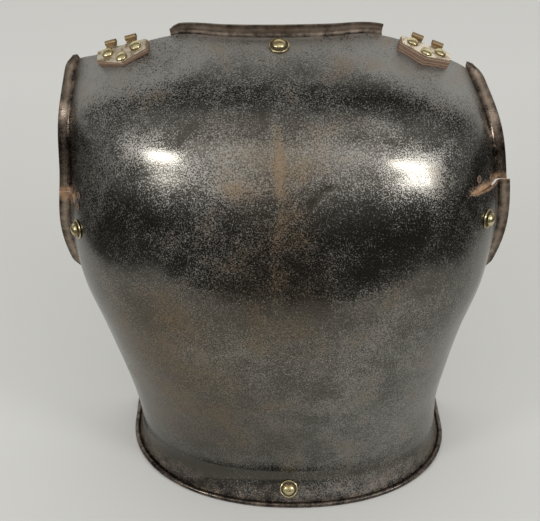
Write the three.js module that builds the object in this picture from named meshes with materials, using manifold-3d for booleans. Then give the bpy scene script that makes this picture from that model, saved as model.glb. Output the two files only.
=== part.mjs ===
// The backplate of a nineteenth-century horseman's cuirass, in millimetres, +Z up.
// The plate stands on its waist edge. -Y is behind the wearer and +X is the wearer's right.
// It is one raised steel sheet with flanges turned out at the neck, arms and waist, a wired
// waist edge, four brass studs, two riveted shoulder hinges on leather and two old repairs.

import * as THREE from "three";
import { mergeVertices } from "three/addons/utils/BufferGeometryUtils.js";
import Module from "manifold-3d";

const wasm = await Module();
wasm.setup();

// Driving sizes of the raised plate
const napeHeight = 447;
const backReach = 152;
const bladeHalfWidth = 189;
const sheet = 1.6;
const fit = 0.3;
const overrun = 6;
const ridgeRise = 1.2;

// Neck, arm and waist flanges
const neckFillet = 4;
const neckLip = 5.8;
const neckEndLip = 3.8;
const neckLeftTaper = 9;
const armFootTaper = 13;
const armTopTaper = 11;
const taperLeast = 0.14;
const leftHorn = 4;
const rightHorn = 8;
const armFillet = 3.6;
const armLip = 6;
const waistHalfWidth = 161.5;
const waistReach = 121;
const wireRadius = 0.8;
const footTrim = 0.4;

// Brass studs on the body of the plate
const sideStud = { dome: 6.8, rise: 4.6, washer: 9.6, shank: 2.2, burr: 5 };
const endStud = { dome: 5.6, rise: 3.8, washer: 8.6, shank: 2, burr: 4.4 };
const washerThickness = 1.2;
const burrThickness = 1.2;
const peenRise = 1;
const peenSpread = 1;
const probeReach = 40;

// Shoulder hinges
const padWidth = 45;
const padSide = 13;
const padLength = 21.5;
const padThickness = 3.2;
const padSetback = 1;
const padRoom = 24;
const leafThickness = 1.4;
const leafInset = 0.6;
const knuckleRadius = 3;
const knuckleWidth = 9.8;
const knuckleGap = 8.2;
const knuckleSetback = -2.5;
const hingeRivet = { dome: 5, rise: 2.8, shank: 1.7, burr: 3.8 };
const hingeRivetSpread = 12.4;
const hingeRivetInset = 6.8;
const pointRivetInset = 15.2;

// Repairs at the two armholes
const tearLift = 2.8;
const patchThickness = 1.2;
const patchGap = 0.6;
const repairRivet = { head: 3.2, rise: 0.9, bore: 1.3, boreDepth: 0.6, shank: 1.3 };

// Stations up the plate. The middle of the back is given as shares of the nape height and the
// back reach, the side edge as shares of blade half width, back reach and nape height. Wrap is
// how far round a right angle the side edge lies. Sway and tilt are how uneven the two hand-made
// shoulders are, as shares of the blade half width.
const stationShares = [
  { high: 0.076, back: 0.68, half: 0.798, front: 0.237, edge: 0.076, wrap: 1.222, sway: 0.008, tilt: 0 },
  { high: 0.17, back: 0.745, half: 0.806, front: 0.197, edge: 0.161, wrap: 1.2, sway: -0.003, tilt: 0 },
  { high: 0.297, back: 0.86, half: 0.845, front: 0.112, edge: 0.264, wrap: 1.128, sway: -0.01, tilt: 0 },
  { high: 0.43, back: 0.955, half: 0.904, front: 0, edge: 0.38, wrap: 1.05, sway: -0.018, tilt: 0 },
  { high: 0.56, back: 1, half: 0.979, front: -0.145, edge: 0.497, wrap: 0.944, sway: -0.016, tilt: 0 },
  { high: 0.694, back: 0.974, half: 0.996, front: -0.263, edge: 0.615, wrap: 0.82, sway: -0.015, tilt: 0 },
  { high: 0.823, back: 0.855, half: 0.962, front: -0.303, edge: 0.738, wrap: 0.755, sway: -0.01, tilt: 0.005 },
  { high: 0.924, back: 0.61, half: 0.932, front: -0.237, edge: 0.839, wrap: 0.733, sway: -0.02, tilt: 0.015 },
  { high: 1.006, back: 0, half: 0.869, front: 0, edge: 0.926, wrap: 0.755, sway: -0.042, tilt: 0.025 },
];
const fullness = 2.35;
const waistFullness = 2.14;
const skewShare = 0.045;
// How high the top edge is cut, from the left end to the right in even steps across
const topShares = [0.996, 0.9795, 0.9782, 0.984, 0.9761, 0.9753, 0.9802, 0.991, 0.9875, 0.9835, 0.9919];
const neckColumnShare = 0.43;
const armStartShare = 0.4885;
const tearShare = 0.72;
const tearLeanShare = 0.014;
const tearWidthShare = 0.0013;
const tearSlopeShare = 0.01;
const rightTearShare = 0.7;
const leftTearShare = 0.92;

// Levels up the plate count from 0 at the waist, and things sit on it at a share across from
// the middle and a level.
const armLevel = 1;
const underTear = 2;
const overTear = 3;
const topLevel = 4;
const leftStudPlace = { across: -0.85, level: 1.716 };
const rightStudPlace = { across: 0.83, level: 1.754 };
const neckStudPlace = { across: -0.01, level: 3.96 };
const waistStudFlareShare = 0.58;
const leftHinge = { across: -0.64, lean: THREE.MathUtils.degToRad(1) };
const rightHinge = { across: 0.634, lean: THREE.MathUtils.degToRad(13) };
const leftRepairShares = [
  { across: -0.95, level: 1.95 },
  { across: -0.95, level: 3.036 },
  { across: -0.86, level: 1.95 },
  { across: -0.86, level: 3.036 },
];
const rightRepairShares = [
  { across: 0.79, level: 3.1 },
  { across: 0.91, level: 3.06 },
];
const lostRivetShare = { across: 0.955, level: 3.03 };
const leftPatchSpan = { from: -0.972, to: -0.81, low: 0.675, high: 0.725 };
const rightPatchSpan = { from: 0.73, to: 0.975, low: 0.68, high: 0.79 };

// Steps of the sheet's grid
const neckColumns = 12;
const shoulderColumns = 9;
const rowsBelowArms = 8;
const rowsBelowTear = 6;
const rowsAboveTear = 9;
const filletSteps = 3;
const flareSteps = 5;
const rollSteps = 8;
const wireSides = 6;
const roundSides = 16;
const domeSteps = 3;
const patchSteps = 3;
const roundProbeShare = 0.6;
const flangeTurn = THREE.MathUtils.degToRad(86);
const flareTurn = THREE.MathUtils.degToRad(32);
const rollTurn = THREE.MathUtils.degToRad(284);

const rightAngle = Math.PI / 2;
const wireRoom = wireRadius + fit;
const beadRadius = wireRoom + sheet;
const up = new THREE.Vector3(0, 0, 1);

// Materials
const steel = new THREE.MeshStandardMaterial({ color: 0x5a5650, roughness: 0.35, metalness: 1 });
const brass = new THREE.MeshStandardMaterial({ color: 0xb59a5a, roughness: 0.3, metalness: 1 });
const leather = new THREE.MeshStandardMaterial({ color: 0x6b4630, roughness: 0.8, metalness: 0 });
const iron = new THREE.MeshStandardMaterial({ color: 0x6a5748, roughness: 0.6, metalness: 1 });

const backplate = new THREE.Group();

function addPiece(name, geometry, material, placing) {
  const mesh = new THREE.Mesh(geometry, material);
  mesh.name = name;
  if (placing) placing.decompose(mesh.position, mesh.quaternion, mesh.scale);
  backplate.add(mesh);
  return mesh;
}

// Solids for cutting and joining
function toSolid(geometry, placing) {
  const bare = new THREE.BufferGeometry();
  bare.setAttribute("position", geometry.getAttribute("position").clone());
  if (geometry.index) bare.setIndex(geometry.index);
  if (placing) bare.applyMatrix4(placing);
  const merged = mergeVertices(bare, 1e-4);
  const corners = merged.index.array;
  const kept = [];
  for (let k = 0; k < corners.length; k += 3) {
    const [a, b, c] = [corners[k], corners[k + 1], corners[k + 2]];
    if (a !== b && b !== c && c !== a) kept.push(a, b, c);
  }
  return new wasm.Manifold(new wasm.Mesh({
    numProp: 3,
    vertProperties: new Float32Array(merged.getAttribute("position").array),
    triVerts: new Uint32Array(kept),
  }));
}

function toGeometry(solid) {
  const mesh = solid.getMesh();
  const geometry = new THREE.BufferGeometry();
  geometry.setAttribute("position", new THREE.BufferAttribute(mesh.vertProperties, 3));
  geometry.setIndex(new THREE.BufferAttribute(mesh.triVerts, 1));
  geometry.computeVertexNormals();
  return geometry;
}

// Curves through the stations
function curveThrough(pick) {
  return new THREE.CatmullRomCurve3(stationShares.map(pick), false, "catmullrom", 0.5);
}
const spine = curveThrough((s) => new THREE.Vector3(0, -s.back * backReach, s.high * napeHeight));
const sideEdge = curveThrough((s) => new THREE.Vector3(
  s.half * bladeHalfWidth, s.front * backReach, s.edge * napeHeight));
const shaping = curveThrough((s) => new THREE.Vector3(
  s.wrap * rightAngle, s.sway * bladeHalfWidth, s.tilt * bladeHalfWidth));
const topEdge = new THREE.CatmullRomCurve3(
  topShares.map((share) => new THREE.Vector3(share, 0, 0)), false, "catmullrom", 0.5);

function smoothStep(from, to, value) {
  return THREE.MathUtils.smoothstep(value, Math.min(from, to), Math.max(from, to));
}

// A quarter of a full oval of unit size, carried straight on past the right angle.
function ribArc(turn, power = fullness) {
  if (turn > rightAngle) return { out: 1, round: 1 + turn - rightAngle };
  const radius = (Math.sin(turn) ** power + Math.cos(turn) ** power) ** (-1 / power);
  return { out: radius * Math.sin(turn), round: 1 - radius * Math.cos(turn) };
}

// The point of the raised face at a share across, from -1 to 1, and a share of the way up.
function raisedPoint(across, high) {
  const wrap = shaping.getPoint(high);
  const edge = sideEdge.getPoint(high);
  const middle = spine.getPoint(high);
  const side = Math.sign(across);
  const here = ribArc(Math.abs(across) * wrap.x);
  const end = ribArc(wrap.x);
  const out = here.out / end.out;
  const round = here.round / end.round;
  const ridge = ridgeRise * smoothStep(0.25, 0.45, high) * (1 - smoothStep(0.75, 0.9, high))
    * (1 - smoothStep(0, 0.06, Math.abs(across)));
  const x = side * out * edge.x + wrap.y * out;
  return new THREE.Vector3(
    x,
    middle.y + (edge.y - middle.y) * round - ridge - skewShare * x,
    middle.z + (edge.z - middle.z) * round - side * wrap.z * out);
}

function frameOn(pointAt, across, high) {
  const nudge = 1e-3;
  const east = pointAt(Math.min(1, across + nudge), high)
    .sub(pointAt(Math.max(-1, across - nudge), high)).normalize();
  const north = pointAt(across, Math.min(1, high + nudge))
    .sub(pointAt(across, high - nudge)).normalize();
  const normal = new THREE.Vector3().crossVectors(east, north).normalize();
  return { point: pointAt(across, high), east, north, normal };
}

// The neck is cut lower in the middle, and the shoulders drop towards the arms.
function topAt(across) {
  return topEdge.getPoint((across + 1) / 2).x;
}

// The tears lie a little higher on the right, where the sheet under the tear stands proud.
function tearAt(across) {
  const climb = Math.max(0, (across - rightTearShare) / (1 - rightTearShare));
  return tearShare + tearLeanShare * across + tearSlopeShare * climb;
}

function liftAt(across, level) {
  if (level >= underTear) return 0;
  return tearLift * smoothStep(rightTearShare, 1, across) * smoothStep(armLevel, underTear, level);
}

// The share of the way up at a level
function highAt(level, across) {
  const tear = tearAt(across);
  const knots = [0, armStartShare, tear - tearWidthShare, tear + tearWidthShare, 1];
  const k = Math.min(topLevel - 1, Math.floor(level));
  return (knots[k] + (knots[k + 1] - knots[k]) * (level - k)) * topAt(across);
}

function sheetPoint(across, level) {
  const high = highAt(level, across);
  const lift = liftAt(across, level);
  if (lift === 0) return raisedPoint(across, high);
  const { point, normal } = frameOn(raisedPoint, across, high);
  return point.addScaledVector(normal, lift);
}

function frameAt(across, level) {
  const nudge = 1e-3;
  const a = Math.abs(across) > 1 - nudge ? across - Math.sign(across) * nudge : across;
  const above = level > underTear;
  const at = above ? Math.max(level, overTear) : level;
  const low = Math.max(at - nudge, above ? overTear : 0);
  const top = Math.min(at + nudge, above ? topLevel : underTear);
  const east = sheetPoint(a + nudge, at).sub(sheetPoint(a - nudge, at)).normalize();
  const north = sheetPoint(across, top).sub(sheetPoint(across, low)).normalize();
  const normal = new THREE.Vector3().crossVectors(east, north).normalize();
  return { point: sheetPoint(across, at), east, north, normal };
}

// The rows of points that turn out into a flange from an edge point. At the top of an arm the
// flange stands up past the edge of the plate as a small horn.
function flangePoints({ point, normal, north }, away, fillet, lip, horn = 0) {
  const outward = away.clone().addScaledVector(normal, -away.dot(normal)).normalize();
  const points = [];
  for (let k = 1; k <= filletSteps; k += 1) {
    const turn = flangeTurn * k / filletSteps;
    points.push(point.clone()
      .addScaledVector(outward, fillet * Math.sin(turn))
      .addScaledVector(normal, fillet * (1 - Math.cos(turn)))
      .addScaledVector(north, horn * Math.sin(turn)));
  }
  points.push(points[points.length - 1].clone()
    .addScaledVector(outward, lip * Math.cos(flangeTurn))
    .addScaledVector(normal, lip * Math.sin(flangeTurn))
    .addScaledVector(north, -horn / 2));
  return points;
}

// A flange's end swells from almost nothing in a quarter of an oval.
function swell(distance, taper) {
  const share = THREE.MathUtils.clamp(distance / taper, taperLeast, 1);
  return Math.sqrt(1 - (1 - share) ** 2);
}

function armFlange(side, level, frame) {
  const rise = (from, to) => (highAt(to, side) - highAt(from, side)) * napeHeight;
  const size = swell(rise(armLevel, level), armFootTaper) * swell(rise(level, topLevel), armTopTaper);
  const tip = side < 0 ? leftHorn : rightHorn;
  const away = frame.east.clone().multiplyScalar(side);
  return flangePoints(frame, away, armFillet * size, armLip * size, level === topLevel ? tip : 0);
}

function neckFlange(across, frame) {
  const size = swell((across + neckColumnShare) * bladeHalfWidth, neckLeftTaper);
  const lip = neckLip + (neckEndLip - neckLip) * (across / neckColumnShare) ** 2;
  return flangePoints(frame, frame.north, neckFillet * size, lip * size);
}

// The middle of the bead along the waist, and the way out from it in plan
function rimFrame(across) {
  const turn = Math.abs(across) * shaping.getPoint(0).x;
  const at = (t) => {
    const { out, round } = ribArc(t, waistFullness);
    const x = Math.sign(across) * out * (waistHalfWidth - beadRadius) + shaping.getPoint(0).y * out;
    const y = (round - 1) * (waistReach - beadRadius) - skewShare * x;
    return new THREE.Vector3(x, y, beadRadius - footTrim);
  };
  const along = at(turn + 1e-3).sub(at(Math.max(0, turn - 1e-3))).normalize();
  const side = across < 0 ? -1 : 1;
  const outward = across === 0
    ? new THREE.Vector3(0, -1, 0)
    : new THREE.Vector3(along.y * side, -along.x * side, 0).normalize();
  return { centre: at(turn), outward };
}

// The waist flare runs down and out from the body, then rolls up and over the wire.
function flareFoot(across) {
  const { centre, outward } = rimFrame(across);
  const slope = outward.clone().multiplyScalar(Math.sin(flareTurn))
    .addScaledVector(up, -Math.cos(flareTurn));
  const face = outward.clone().multiplyScalar(Math.cos(flareTurn))
    .addScaledVector(up, Math.sin(flareTurn));
  return { centre, slope, face, foot: centre.clone().addScaledVector(face, -wireRoom) };
}

function waistFlare(across) {
  const { point, north } = frameAt(across, 0);
  const { slope, foot } = flareFoot(across);
  const pull = point.distanceTo(foot) / 3;
  return new THREE.CubicBezierCurve3(
    point,
    point.clone().addScaledVector(north, -pull),
    foot.clone().addScaledVector(slope, -pull),
    foot);
}

function waistPoints(across) {
  const { centre, slope, face } = flareFoot(across);
  const flare = waistFlare(across);
  const points = [];
  for (let k = 1; k <= flareSteps; k += 1) points.push(flare.getPoint(k / flareSteps));
  for (let k = 1; k <= rollSteps; k += 1) {
    const turn = rollTurn * k / rollSteps;
    points.push(centre.clone()
      .addScaledVector(face, -wireRoom * Math.cos(turn))
      .addScaledVector(slope, wireRoom * Math.sin(turn)));
  }
  return points;
}

// A sheet of one thickness behind a net of four-sided cells seen from outside
function thicken(points, cells, thickness) {
  const normals = points.map(() => new THREE.Vector3());
  const uses = new Map();
  for (const cell of cells) {
    const [a, b, c, d] = cell.map((k) => points[k]);
    const turn = new THREE.Vector3().crossVectors(c.clone().sub(a), d.clone().sub(b)).normalize();
    cell.forEach((k, n) => {
      normals[k].add(turn);
      const next = cell[(n + 1) % 4];
      if (uses.has(next + "_" + k)) uses.delete(next + "_" + k);
      else uses.set(k + "_" + next, [k, next]);
    });
  }
  const count = points.length;
  const behind = points.map((p, k) => p.clone()
    .addScaledVector(normals[k].normalize(), -thickness));
  const faces = [];
  for (const [a, b, c, d] of cells) {
    faces.push(a, b, c, a, c, d);
    faces.push(a + count, c + count, b + count, a + count, d + count, c + count);
  }
  for (const [a, b] of uses.values()) {
    faces.push(b, a, a + count, b, a + count, b + count);
  }
  const geometry = new THREE.BufferGeometry().setFromPoints([...points, ...behind]);
  geometry.setIndex(faces);
  return geometry;
}

// Shares across for every column and levels for every row of the grid
function spread(from, to, steps) {
  return Array.from({ length: steps }, (_, k) => from + (to - from) * (k + 1) / steps);
}
const rightColumns = [
  ...spread(0, neckColumnShare, neckColumns / 2),
  ...spread(neckColumnShare, rightTearShare, shoulderColumns - 4),
  ...spread(rightTearShare, leftTearShare, 3),
  ...spread(leftTearShare, 1, 1),
];
const columns = [...rightColumns.map((share) => -share).reverse(), 0, ...rightColumns];
const levels = [
  0,
  ...spread(0, armLevel, rowsBelowArms),
  ...spread(armLevel, underTear, rowsBelowTear),
  overTear,
  ...spread(overTear, topLevel, rowsAboveTear),
];

function rawPlate() {
  const points = [];
  const cells = [];
  const add = (point) => points.push(point) - 1;
  const net = levels.map((level) => columns.map((across) => add(sheetPoint(across, level))));
  const last = columns.length - 1;
  const tearRow = levels.indexOf(underTear);
  const torn = (j) => (columns[j] < 0 ? columns[j] < -leftTearShare : columns[j + 1] > rightTearShare);
  for (let i = 0; i < levels.length - 1; i += 1) {
    for (let j = 0; j < last; j += 1) {
      if (i === tearRow && torn(j)) continue;
      cells.push([net[i][j], net[i][j + 1], net[i + 1][j + 1], net[i + 1][j]]);
    }
  }
  const join = (strips, flip, skip) => {
    for (let i = 0; i < strips.length - 1; i += 1) {
      if (i === skip) continue;
      for (let k = 0; k < strips[i].length - 1; k += 1) {
        const cell = [strips[i][k], strips[i][k + 1], strips[i + 1][k + 1], strips[i + 1][k]];
        cells.push(flip ? cell.reverse() : cell);
      }
    }
  };
  const armRow = levels.indexOf(armLevel);
  for (const side of [-1, 1]) {
    const strips = levels.slice(armRow).map((level, n) => {
      const edge = net[armRow + n][side < 0 ? 0 : last];
      return [edge, ...armFlange(side, level, frameAt(side, level)).map(add)];
    });
    join(strips, side < 0, tearRow - armRow);
  }
  const neckStrips = [];
  columns.forEach((across, j) => {
    if (Math.abs(across) > neckColumnShare + 1e-6) return;
    neckStrips.push([net[levels.length - 1][j],
      ...neckFlange(across, frameAt(across, topLevel)).map(add)]);
  });
  join(neckStrips, true);
  join(columns.map((across, j) => [net[0][j], ...waistPoints(across).map(add)]), false);
  return toSolid(thicken(points, cells, sheet));
}

const raw = rawPlate();

// Lying on the plate: a place has its z out of the sheet, and rays find how high the faces are.
const probe = new THREE.Mesh(toGeometry(raw), new THREE.MeshStandardMaterial({ side: THREE.DoubleSide }));
const caster = new THREE.Raycaster();

function placeAt(point, normal, alongX) {
  const z = normal.clone().normalize();
  const x = alongX.clone().addScaledVector(z, -alongX.dot(z)).normalize();
  const y = new THREE.Vector3().crossVectors(z, x);
  return new THREE.Matrix4().makeBasis(x, y, z).setPosition(point);
}

function placeOn({ across, level }) {
  const { point, normal, east } = frameAt(across, level);
  return placeAt(point, normal, east);
}

function faceHeight(place, x, y, side) {
  const origin = new THREE.Vector3(x, y, side * probeReach).applyMatrix4(place);
  const aim = new THREE.Vector3(0, 0, -side).transformDirection(place);
  caster.set(origin, aim);
  caster.far = 2 * probeReach;
  const [hit] = caster.intersectObject(probe);
  return hit ? side * (probeReach - hit.distance) : -side * probeReach;
}

// The height that clears the outer face under a disc, or for side -1 the inner face over it.
function clearHeight(place, radius, side) {
  const heights = [];
  for (const reach of [roundProbeShare * radius, radius]) {
    for (let k = 0; k < roundSides; k += 1) {
      const turn = 2 * Math.PI * k / roundSides;
      heights.push(faceHeight(place, reach * Math.cos(turn), reach * Math.sin(turn), side));
    }
  }
  return side > 0 ? Math.max(...heights) : Math.min(...heights);
}

// A turned piece about z. The profile is [radius, height] pairs from the bottom up.
function turned(profile, sides = roundSides) {
  const points = profile.map(([radius, height]) => new THREE.Vector2(radius, height));
  return new THREE.LatheGeometry(points, sides).rotateX(rightAngle);
}

function ring(bore, radius, low, thickness, sides) {
  const high = low + thickness;
  return turned([[bore, low], [radius, low], [radius, high], [bore, high], [bore, low]], sides);
}

const holes = [];

function drill(place, radius) {
  holes.push(toSolid(turned([
    [0, -overrun], [radius, -overrun], [radius, overrun], [0, overrun],
  ]), place));
}

function domeProfile(radius, rise, low) {
  const points = [];
  for (let k = 0; k <= domeSteps; k += 1) {
    const turn = rightAngle * k / domeSteps;
    points.push([radius * Math.cos(turn), low + rise * Math.sin(turn)]);
  }
  points[domeSteps][0] = 0;
  return points;
}

// A rivet through the plate with a burr under it: the head starts at a height over the plate.
function addRivet(name, place, size, headAt, burrUnder, head) {
  const burrTop = burrUnder - fit;
  const peenTop = burrTop - burrThickness - fit;
  const peen = size.shank + peenSpread;
  addPiece(`${name}_rivet`, toGeometry(toSolid(turned([
    [0, peenTop - peenRise],
    [peen, peenTop - peenRise],
    [peen, peenTop],
    [size.shank, peenTop],
    [size.shank, headAt],
    ...head,
  ]))), brass, place);
  addPiece(`${name}_burr`, toGeometry(toSolid(
    ring(size.shank + fit, size.burr, burrTop - burrThickness, burrThickness))), brass, place);
}

function addStud(name, place, size) {
  const seat = clearHeight(place, size.washer, 1) + fit;
  const headAt = seat + washerThickness + fit;
  addPiece(`${name}_washer`, toGeometry(toSolid(
    ring(size.shank + fit, size.washer, seat, washerThickness))), brass, place);
  addRivet(name, place, size, headAt, clearHeight(place, size.burr, -1),
    domeProfile(size.dome, size.rise, headAt));
  drill(place, size.shank + fit);
}

function waistStudPlace() {
  const flare = waistFlare(0);
  const point = flare.getPoint(waistStudFlareShare);
  const downward = flare.getTangent(waistStudFlareShare);
  const east = new THREE.Vector3(1, 0, 0);
  return placeAt(point, new THREE.Vector3().crossVectors(downward, east), east);
}

addStud("left_stud", placeOn(leftStudPlace), sideStud);
addStud("right_stud", placeOn(rightStudPlace), sideStud);
addStud("neck_stud", placeOn(neckStudPlace), endStud);
addStud("waist_stud", waistStudPlace(), endStud);

// Shoulder hinges: x runs along the hinge edge, y points down the back and z stands off the plate.
function hingePlace({ across, lean }) {
  const { point, east, normal } = frameAt(across, topLevel);
  return placeAt(point, normal.clone().applyAxisAngle(east, -lean), east.clone().negate());
}

function pentagon(inset) {
  const half = padWidth / 2 - inset;
  const near = padSetback + inset;
  const shape = new THREE.Shape();
  shape.moveTo(-half, near);
  shape.lineTo(half, near);
  shape.lineTo(half, padSide - inset);
  shape.lineTo(0, padLength - inset);
  shape.lineTo(-half, padSide - inset);
  shape.closePath();
  return shape;
}

function hingeRivetSpots() {
  return [
    ["outer", -hingeRivetSpread, hingeRivetInset],
    ["inner", hingeRivetSpread, hingeRivetInset],
    ["point", 0, pointRivetInset],
  ];
}

function plateSolid(shape, low, thickness) {
  return toSolid(new THREE.ExtrudeGeometry(shape, { depth: thickness, bevelEnabled: false })
    .translate(0, 0, low));
}

// One leaf: a five-sided plate with two tabs rolled up into open knuckles.
function leafSolid(low) {
  let solid = plateSolid(pentagon(leafInset), low, leafThickness);
  const axis = low + knuckleRadius;
  for (const side of [-1, 1]) {
    const middle = side * (knuckleGap + knuckleWidth) / 2;
    const tab = new THREE.Shape();
    tab.moveTo(middle - knuckleWidth / 2, knuckleSetback);
    tab.lineTo(middle + knuckleWidth / 2, knuckleSetback);
    tab.lineTo(middle + knuckleWidth / 2, padSetback + 2 * leafInset + leafThickness);
    tab.lineTo(middle - knuckleWidth / 2, padSetback + 2 * leafInset + leafThickness);
    tab.closePath();
    solid = solid.add(plateSolid(tab, low, leafThickness));
    const tube = new THREE.Shape();
    tube.absarc(0, 0, knuckleRadius, 0, 2 * Math.PI);
    const bore = new THREE.Path();
    bore.absarc(0, 0, knuckleRadius - leafThickness, 0, 2 * Math.PI, true);
    tube.holes.push(bore);
    const roll = new THREE.ExtrudeGeometry(tube, {
      depth: knuckleWidth, bevelEnabled: false, curveSegments: roundSides / 2,
    });
    const turn = new THREE.Matrix4().makeRotationY(rightAngle)
      .setPosition(middle - knuckleWidth / 2, knuckleSetback, axis);
    solid = solid.add(toSolid(roll, turn));
  }
  for (const [, x, y] of hingeRivetSpots()) {
    solid = solid.subtract(toSolid(turned([
      [0, low - overrun],
      [hingeRivet.shank + fit, low - overrun],
      [hingeRivet.shank + fit, low + overrun],
      [0, low + overrun],
    ]).translate(x, y, 0)));
  }
  return solid;
}

// The net of the body alone, pushed out by the clearance, to shape the underside of the pads
function seatCutter() {
  const points = [];
  const cells = [];
  const net = levels.map((level) => columns.map((across) => {
    const { point, normal } = frameAt(across, level);
    return points.push(point.addScaledVector(normal, fit)) - 1;
  }));
  const firstRow = levels.indexOf(overTear);
  for (let i = firstRow; i < levels.length - 1; i += 1) {
    for (let j = 0; j < columns.length - 1; j += 1) {
      cells.push([net[i][j], net[i][j + 1], net[i + 1][j + 1], net[i + 1][j]]);
    }
  }
  return toSolid(thicken(points, cells, padRoom));
}

function addHinge(name, place, cutter) {
  const heights = [];
  for (const x of spread(-padWidth / 2, padWidth / 2, roundSides)) {
    for (const y of spread(padSetback, padLength, roundSides)) {
      heights.push(faceHeight(place, x, y, 1));
    }
  }
  const padTop = Math.max(...heights) + padThickness;
  let pad = plateSolid(pentagon(0), padTop - padRoom / 2, padRoom / 2);
  const leafLow = padTop + fit;
  const headAt = leafLow + leafThickness + fit;
  const back = new THREE.Matrix4().copy(place).invert();
  pad = pad.subtract(toSolid(toGeometry(cutter), back));
  for (const [spot, x, y] of hingeRivetSpots()) {
    const at = place.clone().multiply(new THREE.Matrix4().makeTranslation(x, y, 0));
    pad = pad.subtract(toSolid(turned([
      [0, -padRoom],
      [hingeRivet.shank + fit, -padRoom],
      [hingeRivet.shank + fit, padRoom],
      [0, padRoom],
    ]).translate(x, y, 0)));
    addRivet(`${name}_${spot}`, at, hingeRivet, headAt, clearHeight(at, hingeRivet.burr, -1),
      domeProfile(hingeRivet.dome, hingeRivet.rise, headAt));
    drill(at, hingeRivet.shank + fit);
  }
  addPiece(`${name}_leaf`, toGeometry(leafSolid(leafLow)), brass, place);
  addPiece(`${name}_leather`, toGeometry(pad), leather, place);
}

const cutter = seatCutter();
addHinge("left_hinge", hingePlace(leftHinge), cutter);
addHinge("right_hinge", hingePlace(rightHinge), cutter);

// Old repairs: a patch inside each tear, held by small rivets with hollow heads
function patchSolid({ from, to, low, high }) {
  const points = [];
  const cells = [];
  const net = [low, ...spread(low, high, patchSteps)].map((row) =>
    [from, ...spread(from, to, patchSteps)].map((across) => {
      const { point, normal } = frameOn(raisedPoint, across, row);
      return points.push(point.addScaledVector(normal, -sheet - patchGap)) - 1;
    }));
  for (let i = 0; i < patchSteps; i += 1) {
    for (let j = 0; j < patchSteps; j += 1) {
      cells.push([net[i][j], net[i][j + 1], net[i + 1][j + 1], net[i + 1][j]]);
    }
  }
  return toSolid(thicken(points, cells, patchThickness));
}

function hollowHead(low) {
  const { head, rise, bore, boreDepth } = repairRivet;
  return [[head, low], [head, low + rise / 2], [(head + bore) / 2, low + rise],
    [bore, low + rise], [0, low + rise - boreDepth]];
}

function addRepair(name, span, spots) {
  let patch = patchSolid(span);
  spots.forEach((spot, k) => {
    const place = placeOn(spot);
    const headAt = clearHeight(place, repairRivet.head, 1) + fit;
    const patchUnder = clearHeight(place, repairRivet.head, -1) - patchGap - patchThickness - fit;
    const hole = toSolid(turned([
      [0, -overrun], [repairRivet.shank + fit, -overrun],
      [repairRivet.shank + fit, overrun], [0, overrun],
    ], roundSides / 2), place);
    patch = patch.subtract(hole);
    holes.push(hole);
    const peenTop = patchUnder;
    addPiece(`${name}_rivet_${k + 1}`, toGeometry(toSolid(turned([
      [0, peenTop - repairRivet.rise],
      [repairRivet.head, peenTop - repairRivet.rise],
      [repairRivet.head, peenTop],
      [repairRivet.shank, peenTop],
      [repairRivet.shank, headAt],
      ...hollowHead(headAt),
    ], roundSides / 2 + 2))), iron, place);
  });
  addPiece(`${name}_patch`, toGeometry(patch), iron);
}

addRepair("left_repair", leftPatchSpan, leftRepairShares);
addRepair("right_repair", rightPatchSpan, rightRepairShares);
drill(placeOn(lostRivetShare), repairRivet.shank + fit);

// The wire that stiffens the waist edge
function wireSolid() {
  const across = [...columns];
  across[0] += 1e-3;
  across[across.length - 1] -= 1e-3;
  const points = [];
  const faces = [];
  across.forEach((share) => {
    const { centre, outward } = rimFrame(share);
    for (let k = 0; k < wireSides; k += 1) {
      const turn = 2 * Math.PI * (k + 1 / 2) / wireSides;
      points.push(centre.clone()
        .addScaledVector(outward, wireRadius * Math.cos(turn))
        .addScaledVector(up, wireRadius * Math.sin(turn)));
    }
  });
  const last = (across.length - 1) * wireSides;
  for (let i = 0; i < across.length - 1; i += 1) {
    for (let k = 0; k < wireSides; k += 1) {
      const a = i * wireSides + k;
      const b = i * wireSides + (k + 1) % wireSides;
      faces.push(b, a, a + wireSides, b, a + wireSides, b + wireSides);
    }
  }
  for (let k = 1; k < wireSides - 1; k += 1) {
    faces.push(0, k, k + 1, last, last + k + 1, last + k);
  }
  const geometry = new THREE.BufferGeometry().setFromPoints(points);
  geometry.setIndex(faces);
  return toSolid(geometry);
}

addPiece("waist_wire", toGeometry(wireSolid()), iron);

// The finished plate: holes drilled and the bead filed flat to stand on
function finishedPlate() {
  let solid = raw;
  for (const hole of holes) solid = solid.subtract(hole);
  const span = 2 * (waistHalfWidth + waistReach);
  const floor = new THREE.BoxGeometry(span, span, span).translate(0, 0, -span / 2);
  return solid.subtract(toSolid(floor));
}

addPiece("back_plate", toGeometry(finishedPlate()), steel);

// The origin is the middle of the ground under the plate.
const bounds = new THREE.Box3().setFromObject(backplate, true);
const middle = bounds.getCenter(new THREE.Vector3());
backplate.position.set(-middle.x, -middle.y, -bounds.min.z);

export default backplate;
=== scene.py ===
# %% [markdown]
# # The backplate of a horseman's cuirass
# The real thing is one sheet of steel, raised with hammers until it wraps a rider's back. Its
# edges are turned out at the neck and the arms, and rolled round a wire at the waist. Brass studs,
# two riveted shoulder hinges on leather and two old repairs are fixed to it.
# The first cell loads the measured model. Every new piece below is fitted to that model.

# %% Load the measured model
import math

import bmesh
import bpy
import numpy as np
from mathutils import Matrix, Vector, noise
from mathutils.bvhtree import BVHTree


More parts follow.
